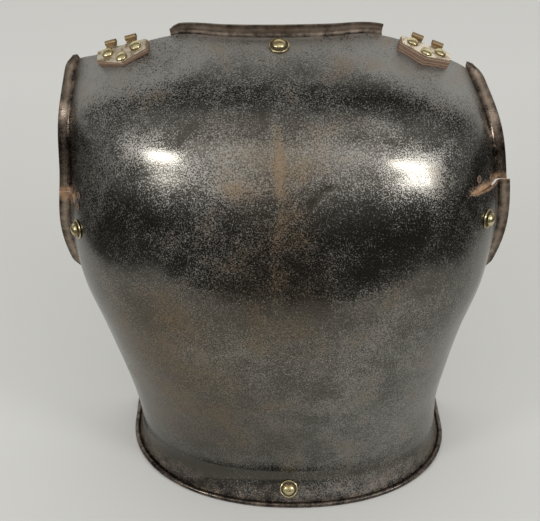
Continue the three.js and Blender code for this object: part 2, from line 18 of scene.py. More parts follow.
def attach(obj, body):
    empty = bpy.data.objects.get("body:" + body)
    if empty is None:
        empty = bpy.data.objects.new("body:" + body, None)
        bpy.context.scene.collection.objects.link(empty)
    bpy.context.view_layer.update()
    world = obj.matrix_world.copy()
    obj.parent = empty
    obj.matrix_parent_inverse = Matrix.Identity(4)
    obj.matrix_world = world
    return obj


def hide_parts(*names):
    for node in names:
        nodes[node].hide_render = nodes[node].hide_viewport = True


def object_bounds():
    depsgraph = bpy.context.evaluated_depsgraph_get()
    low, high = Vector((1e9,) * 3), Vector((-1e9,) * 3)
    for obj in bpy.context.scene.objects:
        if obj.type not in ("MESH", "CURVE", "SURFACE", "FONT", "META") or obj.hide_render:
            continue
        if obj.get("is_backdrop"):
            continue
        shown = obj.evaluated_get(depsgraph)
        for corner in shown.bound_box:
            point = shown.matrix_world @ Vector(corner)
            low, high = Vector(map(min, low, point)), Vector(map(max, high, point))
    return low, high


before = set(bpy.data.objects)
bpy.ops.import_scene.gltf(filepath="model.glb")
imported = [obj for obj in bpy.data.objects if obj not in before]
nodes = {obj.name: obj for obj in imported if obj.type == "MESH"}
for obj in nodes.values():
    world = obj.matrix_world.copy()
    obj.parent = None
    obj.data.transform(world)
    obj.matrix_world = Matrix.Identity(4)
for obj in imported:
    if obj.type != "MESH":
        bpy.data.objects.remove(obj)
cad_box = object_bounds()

MM = 0.001
RIGHT = math.pi / 2
print("nodes in the model:", len(nodes))

# %% [markdown]
# ## The camera
# The photograph looks down on the standing plate from behind it, from about a metre away. A lens
# of 73 mm on a 36 mm wide sensor gives the same gentle perspective. The camera leans a little, as
# a hand-held one does. A tracking constraint would keep it level, so its axes are worked out and
# put straight into its matrix.

# %% Camera
PITCH = math.radians(34)
LEAN = math.radians(-1.25)
LOOK_AT = Vector((-0.0113, 0.0125, 0.2364))
STAND_OFF = 1.0026
SENSOR, FRAME_PIXELS, FOCAL_PIXELS = 36, 540, 1100

ahead = Vector((0, math.cos(PITCH), -math.sin(PITCH)))
level_right = Vector((1, 0, 0))
level_up = Vector((0, math.sin(PITCH), math.cos(PITCH)))
right = level_right * math.cos(LEAN) + level_up * math.sin(LEAN)
upward = level_up * math.cos(LEAN) - level_right * math.sin(LEAN)

camera = bpy.data.objects.new("camera", bpy.data.cameras.new("camera"))
camera.data.sensor_width = SENSOR
camera.data.lens = FOCAL_PIXELS / FRAME_PIXELS * SENSOR
camera.matrix_world = Matrix.Translation(LOOK_AT - ahead * STAND_OFF) @ Matrix(
    (right, upward, -ahead)).transposed().to_4x4()
bpy.context.collection.objects.link(camera)
bpy.context.scene.camera = camera
print("camera at", [round(v, 3) for v in camera.location])

# %% [markdown]
# ## The shape of a raised plate
# A hammered plate has no straight edge to measure from. It is described here the way an armourer
# checks it, with a template at each of nine heights: how far back the spine stands, how wide the
# plate is, where its side edge lies and how far it wraps round. A smooth curve runs through the
# nine stations, so any height in between can be asked for. Sculpting would be quicker to start,
# but a sculpted back would not match the measured model.

# %% The nine stations
NAPE_HEIGHT = 447
BACK_REACH = 152
BLADE_HALF_WIDTH = 189
RIDGE_RISE = 1.2
SKEW = 0.045
FULLNESS = 2.35
GROUND_SHIFT = np.array([2.116, 52.49, 0.0])

# height, back, half width, front, edge height, wrap, sway, tilt
STATIONS = np.array([
    (0.076, 0.680, 0.798, 0.237, 0.076, 1.222, 0.008, 0),
    (0.170, 0.745, 0.806, 0.197, 0.161, 1.200, -0.003, 0),
    (0.297, 0.860, 0.845, 0.112, 0.264, 1.128, -0.010, 0),
    (0.430, 0.955, 0.904, 0, 0.380, 1.050, -0.018, 0),
    (0.560, 1.000, 0.979, -0.145, 0.497, 0.944, -0.016, 0),
    (0.694, 0.974, 0.996, -0.263, 0.615, 0.820, -0.015, 0),
    (0.823, 0.855, 0.962, -0.303, 0.738, 0.755, -0.010, 0.005),
    (0.924, 0.610, 0.932, -0.237, 0.839, 0.733, -0.020, 0.015),
    (1.006, 0, 0.869, 0, 0.926, 0.755, -0.042, 0.025),
])


def curve_through(table, share):
    """The columns of a table at shares of its length, on a smooth curve through its rows."""
    spot = np.clip(share, 0, 1) * (len(table) - 1)
    k = np.minimum(spot.astype(int), len(table) - 2)
    w = (spot - k)[..., None]
    longer = np.vstack([2 * table[0] - table[1], table, 2 * table[-1] - table[-2]])
    a, b, c, d = (longer[k + n] for n in range(4))
    curve = b + w / 2 * ((c - a) + w * ((2 * a - 5 * b + 4 * c - d) + w * (3 * b - a - 3 * c + d)))
    return np.moveaxis(curve, -1, 0)


def smooth(low, high, value):
    """0 below low, 1 above high, and an easy slope in between."""
    t = np.clip((value - low) / (high - low), 0, 1)
    return t * t * (3 - 2 * t)


print("stations:", len(STATIONS), "between", STATIONS[0, 0] * NAPE_HEIGHT, "and", NAPE_HEIGHT, "mm")

# %% [markdown]
# Each rib of the plate is a quarter of a full oval on either side of the spine. Where the plate
# wraps more than a quarter turn round the waist, the oval runs on as a straight line. An oval needs
# only a width, a depth and a fullness, and it stays smooth where a drawn curve would show bumps.

# %% Ribs across the plate
SPINE_HALF_SHARE = 0.06


def rib(turn, power):
    """How far out and how far round a full oval of unit size is at an angle from the spine."""
    inside = np.minimum(turn, RIGHT)
    radius = (np.sin(inside) ** power + np.abs(np.cos(inside)) ** power) ** (-1 / power)
    out = np.where(turn > RIGHT, 1, radius * np.sin(inside))
    deep = np.where(turn > RIGHT, 1 + turn - RIGHT, 1 - radius * np.cos(inside))
    return out, deep


def raised(across, high):
    """Points of the raised face in millimetres, across from -1 to 1 and high from 0 to 1."""
    rise, back, half, front, edge, wrap, sway, tilt = curve_through(STATIONS, high)
    side = np.sign(across)
    out, deep = rib(np.abs(across) * wrap * RIGHT, FULLNESS)
    end_out, end_deep = rib(wrap * RIGHT, FULLNESS)
    out, deep = out / end_out, deep / end_deep
    # A low ridge runs up the spine and dies out at the waist and the nape
    ridge = RIDGE_RISE * smooth(0.25, 0.45, high) * (1 - smooth(0.75, 0.9, high))
    ridge = ridge * (1 - smooth(0, SPINE_HALF_SHARE, np.abs(across)))
    x = (side * half + sway) * out * BLADE_HALF_WIDTH
    y = (-back + (front + back) * deep) * BACK_REACH - ridge - SKEW * x
    z = (rise + (edge - rise) * deep) * NAPE_HEIGHT - side * tilt * out * BLADE_HALF_WIDTH
    return np.stack([x, y, z], -1)


blades = raised(np.array([-1.0, 1.0]), np.array([0.56, 0.56]))
print("width over the shoulder blades:", round(float(blades[1, 0] - blades[0, 0]), 1), "mm")

# %% [markdown]
# ## Levels, the neck and the two tears
# The rows of the net follow the edges of the real sheet: level 0 is the waist, 1 the foot of the
# arm flanges, 2 and 3 the two lips of the tears and 4 the top. The tears open towards the edge of
# the sheet, and on the right the lower lip has sprung out. Straight rows would be simpler, but they
# would cross the tears and leave steps in their lips.

# %% Rows of the net as heights
# Shares of the way from the spine to the side, or of the plate's height
TOP_EDGE = np.array([[0.996, 0.9795, 0.9782, 0.984, 0.9761, 0.9753, 0.9802, 0.991, 0.9875,
                      0.9835, 0.9919]]).T
NECK_HALF = 0.43
ARM_START = 0.4885
TEAR = 0.72
TEAR_LEAN = 0.014
TEAR_GAP = 0.0014
TEAR_CLIMB = 0.01
ROOT_GAP_SHARE = 0.05
RIGHT_TEAR = 0.7
LEFT_TEAR = 0.92


def openness(across):
    """How far the tears stand open, from 0 at their root to 1 at the edge of the sheet."""
    on_right = smooth(RIGHT_TEAR - 0.01, 0.97, across)
    on_left = smooth(LEFT_TEAR - 0.01, 0.99, -across)
    return np.maximum(on_right, on_left)


def high_at(across, level):
    """The share of the height of a level, at a share across."""
    top = curve_through(TOP_EDGE, (across + 1) / 2)[0]
    climb = np.maximum(0, (across - RIGHT_TEAR) / (1 - RIGHT_TEAR))
    tear = TEAR + TEAR_LEAN * across + TEAR_CLIMB * climb
    gap = TEAR_GAP * (ROOT_GAP_SHARE + openness(across))
    zero, one = np.zeros_like(tear), np.ones_like(tear)
    knots = np.stack([zero, one * ARM_START, tear - gap, tear + gap, one])
    k = np.clip(np.floor(level), 0, 3).astype(int)

    def pick(n):
        """The height of each place's knot of a number."""
        return np.take_along_axis(knots, n[None], 0)[0]

    return (pick(k) + (pick(k + 1) - pick(k)) * (level - k)) * top


print("lips of the right tear stand", round(2 * TEAR_GAP * NAPE_HEIGHT, 2), "mm apart at the edge")

# %% [markdown]
# A stud, a flange or a dent has to know where the sheet is and which way it faces. A mesh could be
# searched for the nearest face, but its facets would tilt small pieces. So the surface is asked a
# short way to either side, which gives the exact directions across, up and out.

# %% The sheet's outer face
NUDGE, TINY = 1e-3, 1e-9
TEAR_LIFT = 2.8


def unit(v):
    """Directions of length one."""
    return v / np.maximum(np.linalg.norm(v, axis=-1, keepdims=True), TINY)


def sheet(across, level):
    """Points of the sheet's outer face, with the sprung lip lifted."""
    high = high_at(across, level)
    points = raised(across, high)
    lift = TEAR_LIFT * smooth(RIGHT_TEAR, 1, across) * smooth(1, 2, level) * (level <= 2)
    east = raised(np.minimum(1, across + NUDGE), high) - raised(np.maximum(-1, across - NUDGE), high)
    north = raised(across, np.minimum(1, high + NUDGE)) - raised(across, np.maximum(0, high - NUDGE))
    return points + unit(np.cross(unit(east), unit(north))) * lift[..., None]


def frames(across, level):
    """The sheet's points with the unit directions across, up and out of it."""
    at = np.clip(across, -1 + NUDGE, 1 - NUDGE)
    row = np.where(level > 2, np.maximum(level, 3), np.minimum(level, 2))
    low = np.maximum(row - NUDGE, np.where(row >= 3, 3, 0))
    top = np.minimum(row + NUDGE, np.where(row <= 2, 2, 4))
    east = unit(sheet(at + NUDGE, row) - sheet(at - NUDGE, row))
    north = unit(sheet(across, top) - sheet(across, low))
    return sheet(across, row), east, north, unit(np.cross(east, north))


outwards = frames(np.array([0.5]), np.array([1.5]))[3][0]
print("right of the spine the sheet faces", outwards.round(2))

# %% [markdown]
# ## The flanges
# An armourer turns a flange out over a stake: a tight curve first, then a narrow flat lip. It
# stiffens the edge and stops a blade from sliding in. A separate strip would show a seam, so the
# flange is a function that goes on from the sheet's own edge, step by step.

# %% Flanges
FLANGE_TURN = math.radians(86)
NECK_FILLET, NECK_LIP, NECK_END_LIP, NECK_LEFT_TAPER = 4, 5.8, 3.8, 9
ARM_FILLET, ARM_LIP, ARM_FOOT_TAPER, ARM_TOP_TAPER = 3.6, 6, 13, 11
LEFT_HORN, RIGHT_HORN, HORN_DROP = 4, 8, 0.5
FILLET_ROWS, LIP_ROWS = 6, 4


def turned_out(point, outward, normal, step, fillet, lip):
    """Points of a flange, step by step from the edge of the sheet to the end of its lip."""
    turn = np.minimum(step / FILLET_ROWS, 1) * FLANGE_TURN
    flat = np.maximum(step - FILLET_ROWS, 0) / LIP_ROWS * lip
    out = fillet * np.sin(turn) + flat * math.cos(FLANGE_TURN)
    stand = fillet * (1 - np.cos(turn)) + flat * math.sin(FLANGE_TURN)
    return point + outward * out[..., None] + normal * stand[..., None]


print("arm flanges stand out about", round(ARM_FILLET + ARM_LIP * math.sin(FLANGE_TURN), 1), "mm")

# %% [markdown]
# ## The waist
# The waist flares out gently over the hips and is then rolled over a wire, which keeps the long
# edge stiff and smooth. The rim is an oval of its own, so the flare is a curve that leaves the body
# in the body's direction and reaches the rim in the rim's. The roll is then a circle round the wire.

# %% Waist and rolled edge
WAIST_HALF_WIDTH, WAIST_REACH, WAIST_FULLNESS = 161.5, 121, 2.14
WIRE_ROOM, SHEET = 1.1, 1.6
BEAD = WIRE_ROOM + SHEET
FOOT_TRIM = 0.4
FLARE_TURN = math.radians(32)
ROLL_TURN = math.radians(284)
FLARE_ROWS, ROLL_ROWS = 14, 18


def rim(across):
    """The middle of the waist bead and the level way out from it."""
    wrap, sway = curve_through(STATIONS, np.zeros_like(across))[[5, 6]]

    def at(turn):
        """Places on the rim at angles from the spine."""
        out, deep = rib(turn, WAIST_FULLNESS)
        x = out * (np.sign(across) * (WAIST_HALF_WIDTH - BEAD) + sway * BLADE_HALF_WIDTH)
        y = (deep - 1) * (WAIST_REACH - BEAD) - SKEW * x
        return np.stack([x, y, np.full_like(x, BEAD - FOOT_TRIM)], -1)

    turn = np.abs(across) * wrap * RIGHT
    way = at(turn + NUDGE) - at(np.maximum(0, turn - NUDGE))
    side = np.where(across < 0, -1, 1)
    out = np.stack([way[..., 1] * side, -way[..., 0] * side, 0 * side], -1)
    out = np.where(across[..., None] == 0, np.array([0.0, -1, 0]), out)
    return at(turn), unit(out)


def waist(across, step):
    """Points of the flare and the roll, step by step down from level 0."""
    centre, out = rim(across)
    up = np.array([0.0, 0, 1])
    slope = out * math.sin(FLARE_TURN) - up * math.cos(FLARE_TURN)
    face = out * math.cos(FLARE_TURN) + up * math.sin(FLARE_TURN)
    foot = centre - face * WIRE_ROOM
    start, _, north, _ = frames(across, np.zeros_like(across))
    pull = np.linalg.norm(start - foot, axis=-1, keepdims=True) / 3
    t = np.minimum(step / FLARE_ROWS, 1)[..., None]
    flare = (start * (1 - t) ** 3 + (start - north * pull) * 3 * t * (1 - t) ** 2
             + (foot - slope * pull) * 3 * t * t * (1 - t) + foot * t ** 3)
    turn = (np.maximum(step - FLARE_ROWS, 0) / ROLL_ROWS * ROLL_TURN)[..., None]
    roll = centre - face * WIRE_ROOM * np.cos(turn) + slope * WIRE_ROOM * np.sin(turn)
    return np.where((step > FLARE_ROWS)[..., None], roll, flare)


print("bead", 2 * BEAD, "mm thick, waist rim", 2 * WAIST_HALF_WIDTH, "mm wide")

# %% [markdown]
# ## The net
# One grid covers the body and all four turned edges, in even four-sided cells, which shade smoothly
# where the metal reflects the room. Separate strips could be joined instead, but every seam would
# show in the shine. Each column stands for a share across the back and each row for a level. Beyond
# the edge of the sheet, columns and rows count the steps of a flange.

# %% Columns and rows
ROWS_BELOW_ARMS, ROWS_BELOW_TEAR, ROWS_ABOVE_TEAR = 40, 22, 46
EDGE_ROWS = FILLET_ROWS + LIP_ROWS
WAIST_ROWS = FLARE_ROWS + ROLL_ROWS


def steps(low, high, count):
    """Even steps from just after low up to high."""
    return list(np.linspace(low, high, count + 1)[1:])


half = (steps(0, NECK_HALF, 22) + steps(NECK_HALF, RIGHT_TEAR, 12)
        + steps(RIGHT_TEAR, LEFT_TEAR, 12) + steps(LEFT_TEAR, 1, 6))
columns = np.array([-1 - n for n in range(EDGE_ROWS, 0, -1)] + [-s for s in half[::-1]] + [0]
                   + half + [1 + n for n in range(1, EDGE_ROWS + 1)])
rows = np.array([-n for n in range(WAIST_ROWS, 0, -1)] + [0] + steps(0, 1, ROWS_BELOW_ARMS)
                + steps(1, 2, ROWS_BELOW_TEAR) + [3] + steps(3, 4, ROWS_ABOVE_TEAR)
                + [4 + n for n in range(1, EDGE_ROWS + 1)])
print("net of", len(columns), "columns and", len(rows), "rows")

# %% [markdown]
# An armourer cuts the blank to its outline before raising it. Here the cells that stand for nothing
# are cut away: the corners between two flanges, the rows over the shoulders beside the neck, and
# the row across each tear. A boolean could cut the tears later, but it would leave ragged cells,
# while a missing row leaves two clean lips.

# %% Cut the net out of a grid
SLACK = 1e-6
net = bmesh.new()
bmesh.ops.create_grid(net, x_segments=len(columns) - 1, y_segments=len(rows) - 1, size=0.5)
bmesh.ops.transform(net, matrix=Matrix.Translation((0.5, 0.5, 0)), verts=net.verts)
bmesh.ops.scale(net, vec=(len(columns) - 1, len(rows) - 1, 1), verts=net.verts)


def unused(face):
    """True for a cell in a corner of the grid, beside the neck, or across a tear."""
    centre = face.calc_center_median()
    i, j = int(centre.x), int(centre.y)
    west, east, low, high = columns[i], columns[i + 1], rows[j], rows[j + 1]
    in_corner = (west < -1 or east > 1) and (low < 1 or high > 4)
    beside_neck = high > 4 and max(abs(west), abs(east)) > NECK_HALF + SLACK
    torn = low == 2 and (east > RIGHT_TEAR + SLACK or west < -LEFT_TEAR - SLACK)
    return in_corner or beside_neck or torn


bmesh.ops.delete(net, geom=[f for f in net.faces if unused(f)], context="FACES")
print("cells left in the net:", len(net.faces))

# %% [markdown]
# Raising moves the flat blank to its shape with thousands of hammer blows. Here every vertex gets
# its place at once. On the body it lies on the surface that the stations describe. On a flange it
# is turned out step by step from the edge, and the flange swells from almost nothing at its ends,
# where there is no metal left to stretch. Arrays work out all vertices together, which is much
# quicker than a loop.

# %% Raise the net
def swell(distance, taper):
    """The size of a flange near its end, which swells like a quarter of an oval."""
    share = np.clip(distance / taper, 0.14, 1)
    return np.sqrt(1 - (1 - share) ** 2)


net.verts.ensure_lookup_table()
across = columns[[round(v.co.x) for v in net.verts]]
level = rows[[round(v.co.y) for v in net.verts]]
on_body = np.clip(across, -1, 1)
on_level = np.clip(level, 0, 4)
point, east, north, normal = frames(on_body, on_level)

side = np.sign(across)[..., None]
beside = np.abs(across) > 1
above = level > 4
below = level < 0

climb = np.clip(on_level, 1, 4)
foot_rise = (high_at(on_body, climb) - high_at(on_body, 0 * climb + 1)) * NAPE_HEIGHT
top_drop = (high_at(on_body, 0 * climb + 4) - high_at(on_body, climb)) * NAPE_HEIGHT
arm_size = swell(foot_rise, ARM_FOOT_TAPER) * swell(top_drop, ARM_TOP_TAPER)
arm_step = np.maximum(np.abs(across) - 1, 0)
away = unit(side * east - normal * np.sum(side * east * normal, -1, keepdims=True))
arm = turned_out(point, away, normal, arm_step, ARM_FILLET * arm_size, ARM_LIP * arm_size)

# At the top each arm flange is drawn up to a small horn, whose outer edge drops again.
horn = np.where(across < 0, LEFT_HORN, RIGHT_HORN) * smooth(3.9, 4, level)
horn = horn * (np.sin(np.minimum(arm_step / FILLET_ROWS, 1) * RIGHT)
               - HORN_DROP * np.maximum(arm_step - FILLET_ROWS, 0) / LIP_ROWS)
arm = arm + north * horn[:, None]
print("arm flanges swell from", round(float(arm_size[beside].min()), 2), "to 1 of their full size")

# %% [markdown]
# The neck flange is narrower towards its ends and tapers out on the left. It could reuse the
# columns' own spacing, but its size follows the distance from the end, so that the taper stays
# right whatever the number of columns. Then each vertex takes the place of the part it belongs to.

# %% Neck, waist and the final places
share = np.clip(np.abs(across) / NECK_HALF, 0, 1)
neck_step = np.maximum(level - 4, 0)
neck_size = swell((across + NECK_HALF) * BLADE_HALF_WIDTH, NECK_LEFT_TAPER)
neck_lip = (NECK_LIP + (NECK_END_LIP - NECK_LIP) * share ** 2) * neck_size
away = unit(north - normal * np.sum(north * normal, -1, keepdims=True))
neck = turned_out(point, away, normal, neck_step, NECK_FILLET * neck_size, neck_lip)

foot = waist(on_body, np.maximum(-level, 0))
places = np.where(above[:, None], neck, np.where(below[:, None], foot, point))
places = np.where(beside[:, None], arm, places)
print("lowest and highest place:", places.min(0).round(1), places.max(0).round(1))

# %% [markdown]
# The plate has taken some knocks since it was made: a crease right of the spine, and three dents
# and two low ridges near the bright spots. They could be sculpted with a brush, but a stroke can't
# be measured or repeated. So each is a line on the plate, and a vertex sinks, or rises at a ridge,
# by how near it lies to the line.

# %% Knocks
KNOCKS = {  # places across and up, then the width and the depth in millimetres
    "crease": ([(0.08, 3.025), (0.11, 3.085), (0.13, 3.124), (0.16, 3.134)], 1.9, 0.7),
    "left dent": ([(-0.371, 3.44), (-0.369, 3.45)], 3.4, 0.5),
    "upper dent": ([(-0.35, 3.49), (-0.32, 3.55)], 4.5, 0.4),
    "left ridge": ([(-0.52, 3.602), (-0.46, 3.483)], 3.5, -0.35),
    "right dent": ([(0.38, 3.41), (0.4, 3.4)], 2.6, 0.42),
    "right ridge": ([(0.33, 3.53), (0.42, 3.49)], 6.5, -0.42),
}
FAR_OFF = 1000


def hump(value, middle, width):
    """1 at the middle, falling away on both sides over about the width."""
    return np.exp(-((value - middle) / width) ** 2)


def knock(line, width, depth):
    """How far each place sinks under a knock along a line."""
    marks = frames(*np.array(line).T)[0]
    near = np.full(len(places), FAR_OFF)
    for start, end in zip(marks, marks[1:]):
        run = end - start
        along = np.clip((places - start) @ run / (run @ run), 0, 1)
        near = np.minimum(near, np.linalg.norm(places - start - along[:, None] * run, axis=1))
    return depth * hump(near, 0, width)


sunk = sum(knock(*values) for values in KNOCKS.values())
print("knocks:", len(KNOCKS), "deepest", round(float(sunk.max()), 2), "mm")

# %% [markdown]
# A sheet raised with a hammer is never quite even, and its reflections show it. Noise makes two
# sizes of shallow marks, which die out towards the turned edges, and then every vertex moves to its
# place. Real marks lie in rows. Noise stands for them here, because most were planished smooth.

# %% Hammer marks and moving the vertices
MARK_SIZE, MARK_DEPTH = 46, 0.34
FINE_MARKS, FINE_MARK_DEPTH = 2.6, 0.12
OTHER_SPOT = Vector((5, 1, 9))
calm = 1 - smooth(0.8, 1, np.abs(on_body)) * (on_level >= 1)
calm = calm * smooth(-0.5, 0.6, level) * (1 - smooth(3.7, 4, level))
for vertex, place, out, quiet, deep in zip(net.verts, places, normal, calm, sunk):
    spot = Vector(place) / MARK_SIZE
    dents = MARK_DEPTH * noise.noise(spot) + FINE_MARK_DEPTH * noise.noise(spot * FINE_MARKS + OTHER_SPOT)
    place = place + out * (dents * float(quiet) - float(deep))
    vertex.co = Vector((place + GROUND_SHIFT) * MM)
net.normal_update()
net.faces.ensure_lookup_table()
print("a face at the back looks along", net.faces[len(net.faces) // 2].normal[:])

# %% [markdown]
# ## Where the finish changes
# Some of what colours the steel follows the sheet itself. Rust sits round the tears and creeps out
# from under the iron rivets. The turned edges have gone dark brown, and a painted sheen lies along
# the crest of each lip, which leaves the fillet below it darker as painted shade. All this could be
# painted on an image. The net already knows how far a vertex lies from an edge or a tear, so it
# keeps six numbers on each vertex instead, and the material reads them.

# %% Rust, dark edges and painted sheen on the lips
RUST_OVER_TEAR, RUST_UNDER_TEAR, LEFT_RUST, RIVET_STAIN = 10, 1.8, 9, 2.6
FARTHEST = 20


def layer(name, values):
    """Keeps one number a vertex under a name that a material can read."""
    store = net.verts.layers.float.new(name)
    for vertex, value in zip(net.verts, values):
        vertex[store] = float(value)
    print(name, "from", round(float(values.min()), 2), "to", round(float(values.max()), 2))


high = high_at(on_body, on_level)
over_tear = (high - high_at(on_body, np.full_like(on_body, 2.5))) * NAPE_HEIGHT
reach = np.where(over_tear > 0, RUST_OVER_TEAR, RUST_UNDER_TEAR)
right_rust = smooth(0.6, 0.8, across) * hump(over_tear, 0, reach)
left_rust = smooth(0.84, 0.94, -across) * hump(over_tear, 0, LEFT_RUST)

corners, faces = [], []
for name in (name for name in nodes if "repair_rivet" in name):
    mesh = nodes[name].data
    faces += [[len(corners) + k for k in face.vertices] for face in mesh.polygons]
    corners += [v.co[:] for v in mesh.vertices]
rivets = BVHTree.FromPolygons(corners, faces)
gaps = np.array([rivets.find_nearest(v.co, FARTHEST * MM)[3] or FARTHEST * MM for v in net.verts]) / MM
stain = 0.45 * hump(gaps, 0, RIVET_STAIN)
layer("rust", np.clip(np.maximum.reduce([right_rust, left_rust, stain]), 0, 1))

# All of each flange, a shade on the body beside it, the lower flare, and the ends of the waist
edge = np.where(beside | above, 1.0, 0.45 * smooth(0.95, 1, np.abs(on_body)) * (on_level >= 1))
edge = np.maximum(edge, 0.45 * smooth(5, 8, -level) + 0.45 * smooth(10, 13, -level))
edge = np.maximum(edge, 0.7 * smooth(0.9, 1, np.abs(on_body)) * (level < 0.05))
layer("edge", edge)

# Painted sheen: strongest where each lip starts, and a little over most of the neck flange. The
# fillets below it stay darker, as painted shade.
layer("lip_sheen", 0.85 * hump(np.maximum(arm_step, neck_step), 6.8, 1.6) + 0.3 * smooth(6, 8, level))

# %% [markdown]
# On the open body the patina has zones. A brown streak runs up the spine, brown lies on the lower
# left and towards the waist's ends, and pale scoured flecks lie closer at the sides and on the lower
# right. How close the flecks lie also paints light: closer near the top edge as a painted reflection
# of the bright backdrop, thinner in the hollow of the waist and in the dents as painted shade, closer
# on the two low ridges as a painted glow, and tuned round the two bright spots on the shoulder
# blades. Each zone is a soft hump or slope in shares across and up the plate, because the real ones
# have no sharp borders either.

# %% Streak, brown, and bared places with painted light
def fall(low, high, value):
    """1 below low and 0 above high."""
    return 1 - smooth(low, high, value)


sideways = np.abs(across)
wander = 0.006 * np.sin(high * 23) + 0.004 * np.sin(high * 61)
streak = hump(across, -0.024 - wander, 0.02) * smooth(0.5, 0.62, high) * fall(0.84, 0.9, high)
layer("streak", streak * (0.45 + 0.55 * smooth(0.7, 0.76, high)))

along_spine = 0.5 * hump(across, -0.05, 0.2) * smooth(0.3, 0.5, high) * fall(0.8, 0.9, high)
lower_left = 0.66 * hump(across, -0.36, 0.26) * fall(0.45, 0.62, high) * smooth(0.04, 0.16, high)
waist_ends = 0.8 * smooth(2, 8, -level) * smooth(0.4, 0.75, sideways) * (level > -FLARE_ROWS)
layer("brown", np.maximum.reduce([along_spine, lower_left, waist_ends]))

# More flecks towards the top edge: partly scour, partly a painted reflection of the backdrop
from_top = high - 0.045 * fall(0.15, 0.55, sideways)
scour_and_painted_light = 1.5 * smooth(0.88, 0.935, from_top) + 0.4 * smooth(0.1, 0.5, -across) * smooth(0.86, 0.94, high)
lower_right = 0.42 * smooth(0, 0.2, across) + 0.3 * hump(across, -0.03, 0.24) * (level > 0)
scour_and_painted_light = scour_and_painted_light + lower_right * fall(0.4, 0.5, high)
scour_and_painted_light = scour_and_painted_light + 0.2 * smooth(0.6, 0.95, sideways) * fall(0.5, 0.6, high)
# Fewer flecks in the hollow of the waist: painted shade
scour_and_painted_light = scour_and_painted_light - 1.1 * hump(level, -3.5, 3) * (1 - 0.6 * smooth(0.6, 0.9, sideways))
# Fleck density round the two bright spots, tuned to shape their glow: painted light
shoulder_blades = smooth(0.54, 0.6, high) * fall(0.76, 0.84, high)
for change, middle, width in ((-0.6, -0.5, 0.13), (-0.4, 0.36, 0.16), (0.35, -0.2, 0.14)):
    scour_and_painted_light = scour_and_painted_light + shoulder_blades * change * hump(across, middle, width)
# Fewer flecks in the dents as painted shade, more on the ridges as a painted glow
layer("scour_and_painted_light", np.clip(scour_and_painted_light, -1, 1.5) - 1.5 * sunk)

# %% [markdown]
# ## The steel plate
# Behind the net the sheet gets its real thickness, and its cut edges are rounded a little, as they
# are on a plate that has been handled for two centuries. Modifiers do both, so the net stays simple
# and the thickness is even everywhere, as in a real sheet.

# %% The steel plate
def finish_mesh(name, shape, material, slot, *replaced):
    """A bmesh becomes a piece of the object, in place of nodes of the model."""
    mesh = bpy.data.meshes.new(name)
    for face in shape.faces:
        face.smooth = True
    shape.to_mesh(mesh)
    shape.free()
    piece = bpy.data.objects.new(name, mesh)
    bpy.context.collection.objects.link(piece)
    mesh.materials.append(material)
    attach(piece, "root")
    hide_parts(*replaced)
    return piece


def soften(piece, width, angle=40):
    """Rounds the edges of a piece that are sharper than an angle, by a width in millimetres."""
    bevel = piece.modifiers.new("soft edges", "BEVEL")
    bevel.width = width * MM
    bevel.segments = 2
    bevel.limit_method = "ANGLE"
    bevel.angle_limit = math.radians(angle)
    bevel.harden_normals = True


steel, brass, leaf_brass, iron, leather, hollow_fill = (bpy.data.materials.new(name) for name in (
    "patinated raised steel", "aged cast brass", "dull rolled brass", "rusted forged iron",
    "vegetable tanned cowhide", "near black fill of the hollows"))

plate = finish_mesh("raised_plate", net, steel, "dark_steel", "back_plate")
thick = plate.modifiers.new("sheet", "SOLIDIFY")
thick.thickness = SHEET * MM
thick.offset = -1
thick.use_even_offset = True
soften(plate, 0.35, angle=60)
print("plate net:", len(plate.data.polygons), "cells")

# %% [markdown]
# ## Finding places on the plate
# Studs and rivets are driven square to the sheet. They could be placed by eye, but then they would
# float or sink. So their direction comes from the surface, and their seat is read from the measured
# model, and each fine piece lands on the solid that it replaces.

# %% Places for turned pieces
def square_to(normal, east):
    """A rotation whose z stands out of the sheet and whose x runs across it."""
    z = Vector(normal).normalized()
    x = Vector(east)
    x = (x - z * x.dot(z)).normalized()
    return Matrix((x, z.cross(x), z)).transposed()


def surface_turn(across, level):
    """The rotation that stands square on the sheet at one place."""
    _, east, _, normal = frames(np.array([across]), np.array([float(level)]))
    return square_to(normal[0], east[0])


def measured(node, turn, origin=(0, 0, 0)):
    """The corners of a node, seen from an origin along the axes of a rotation."""
    return (np.array([v.co[:] for v in nodes[node].data.vertices]) - np.array(origin)) @ np.array(turn)


def seat(node, turn):
    """The middle of a node and its lowest and highest reach along the turn's z, in metres."""
    corners = measured(node, turn)
    low, top = corners.min(0), corners.max(0)
    middle = (low + top) / 2
    return turn @ Vector((middle[0], middle[1], 0)), low[2], top[2]


print("left stud seat:", seat("left_stud_washer", surface_turn(-0.85, 1.716))[0])

# %% [markdown]
# ## Turning on a lathe
# Rivets and washers are round, and a maker turns or stamps them. A half profile spun round gives
# the same shape exactly, with every edge where it was drawn. A cylinder with bevels would be
# quicker to start and slower to correct.

# %% A small lathe
WELD = 1e-6


def turned(profile, sides=40):
    """A lathe shape from (radius, height) pairs in millimetres, standing on the origin."""
    shape = bmesh.new()
    ring = [shape.verts.new((radius * MM, 0, height * MM)) for radius, height in profile]
    edges = [shape.edges.new(pair) for pair in zip(ring, ring[1:])]
    bmesh.ops.spin(shape, geom=ring + edges, cent=(0, 0, 0), axis=(0, 0, 1), dvec=(0, 0, 0),
                   angle=2 * math.pi, steps=sides, use_merge=True)
    bmesh.ops.remove_doubles(shape, verts=shape.verts, dist=WELD)
    bmesh.ops.recalc_face_normals(shape, faces=shape.faces)
    return shape


def arc(centre, low, radius, rise, start, end, count):
    """Points of an oval arc round (centre, low), from one angle to another in degrees."""
    turns = [math.radians(start + (end - start) * k / count) for k in range(count + 1)]
    return [(centre + radius * math.cos(t), low + rise * math.sin(t)) for t in turns]


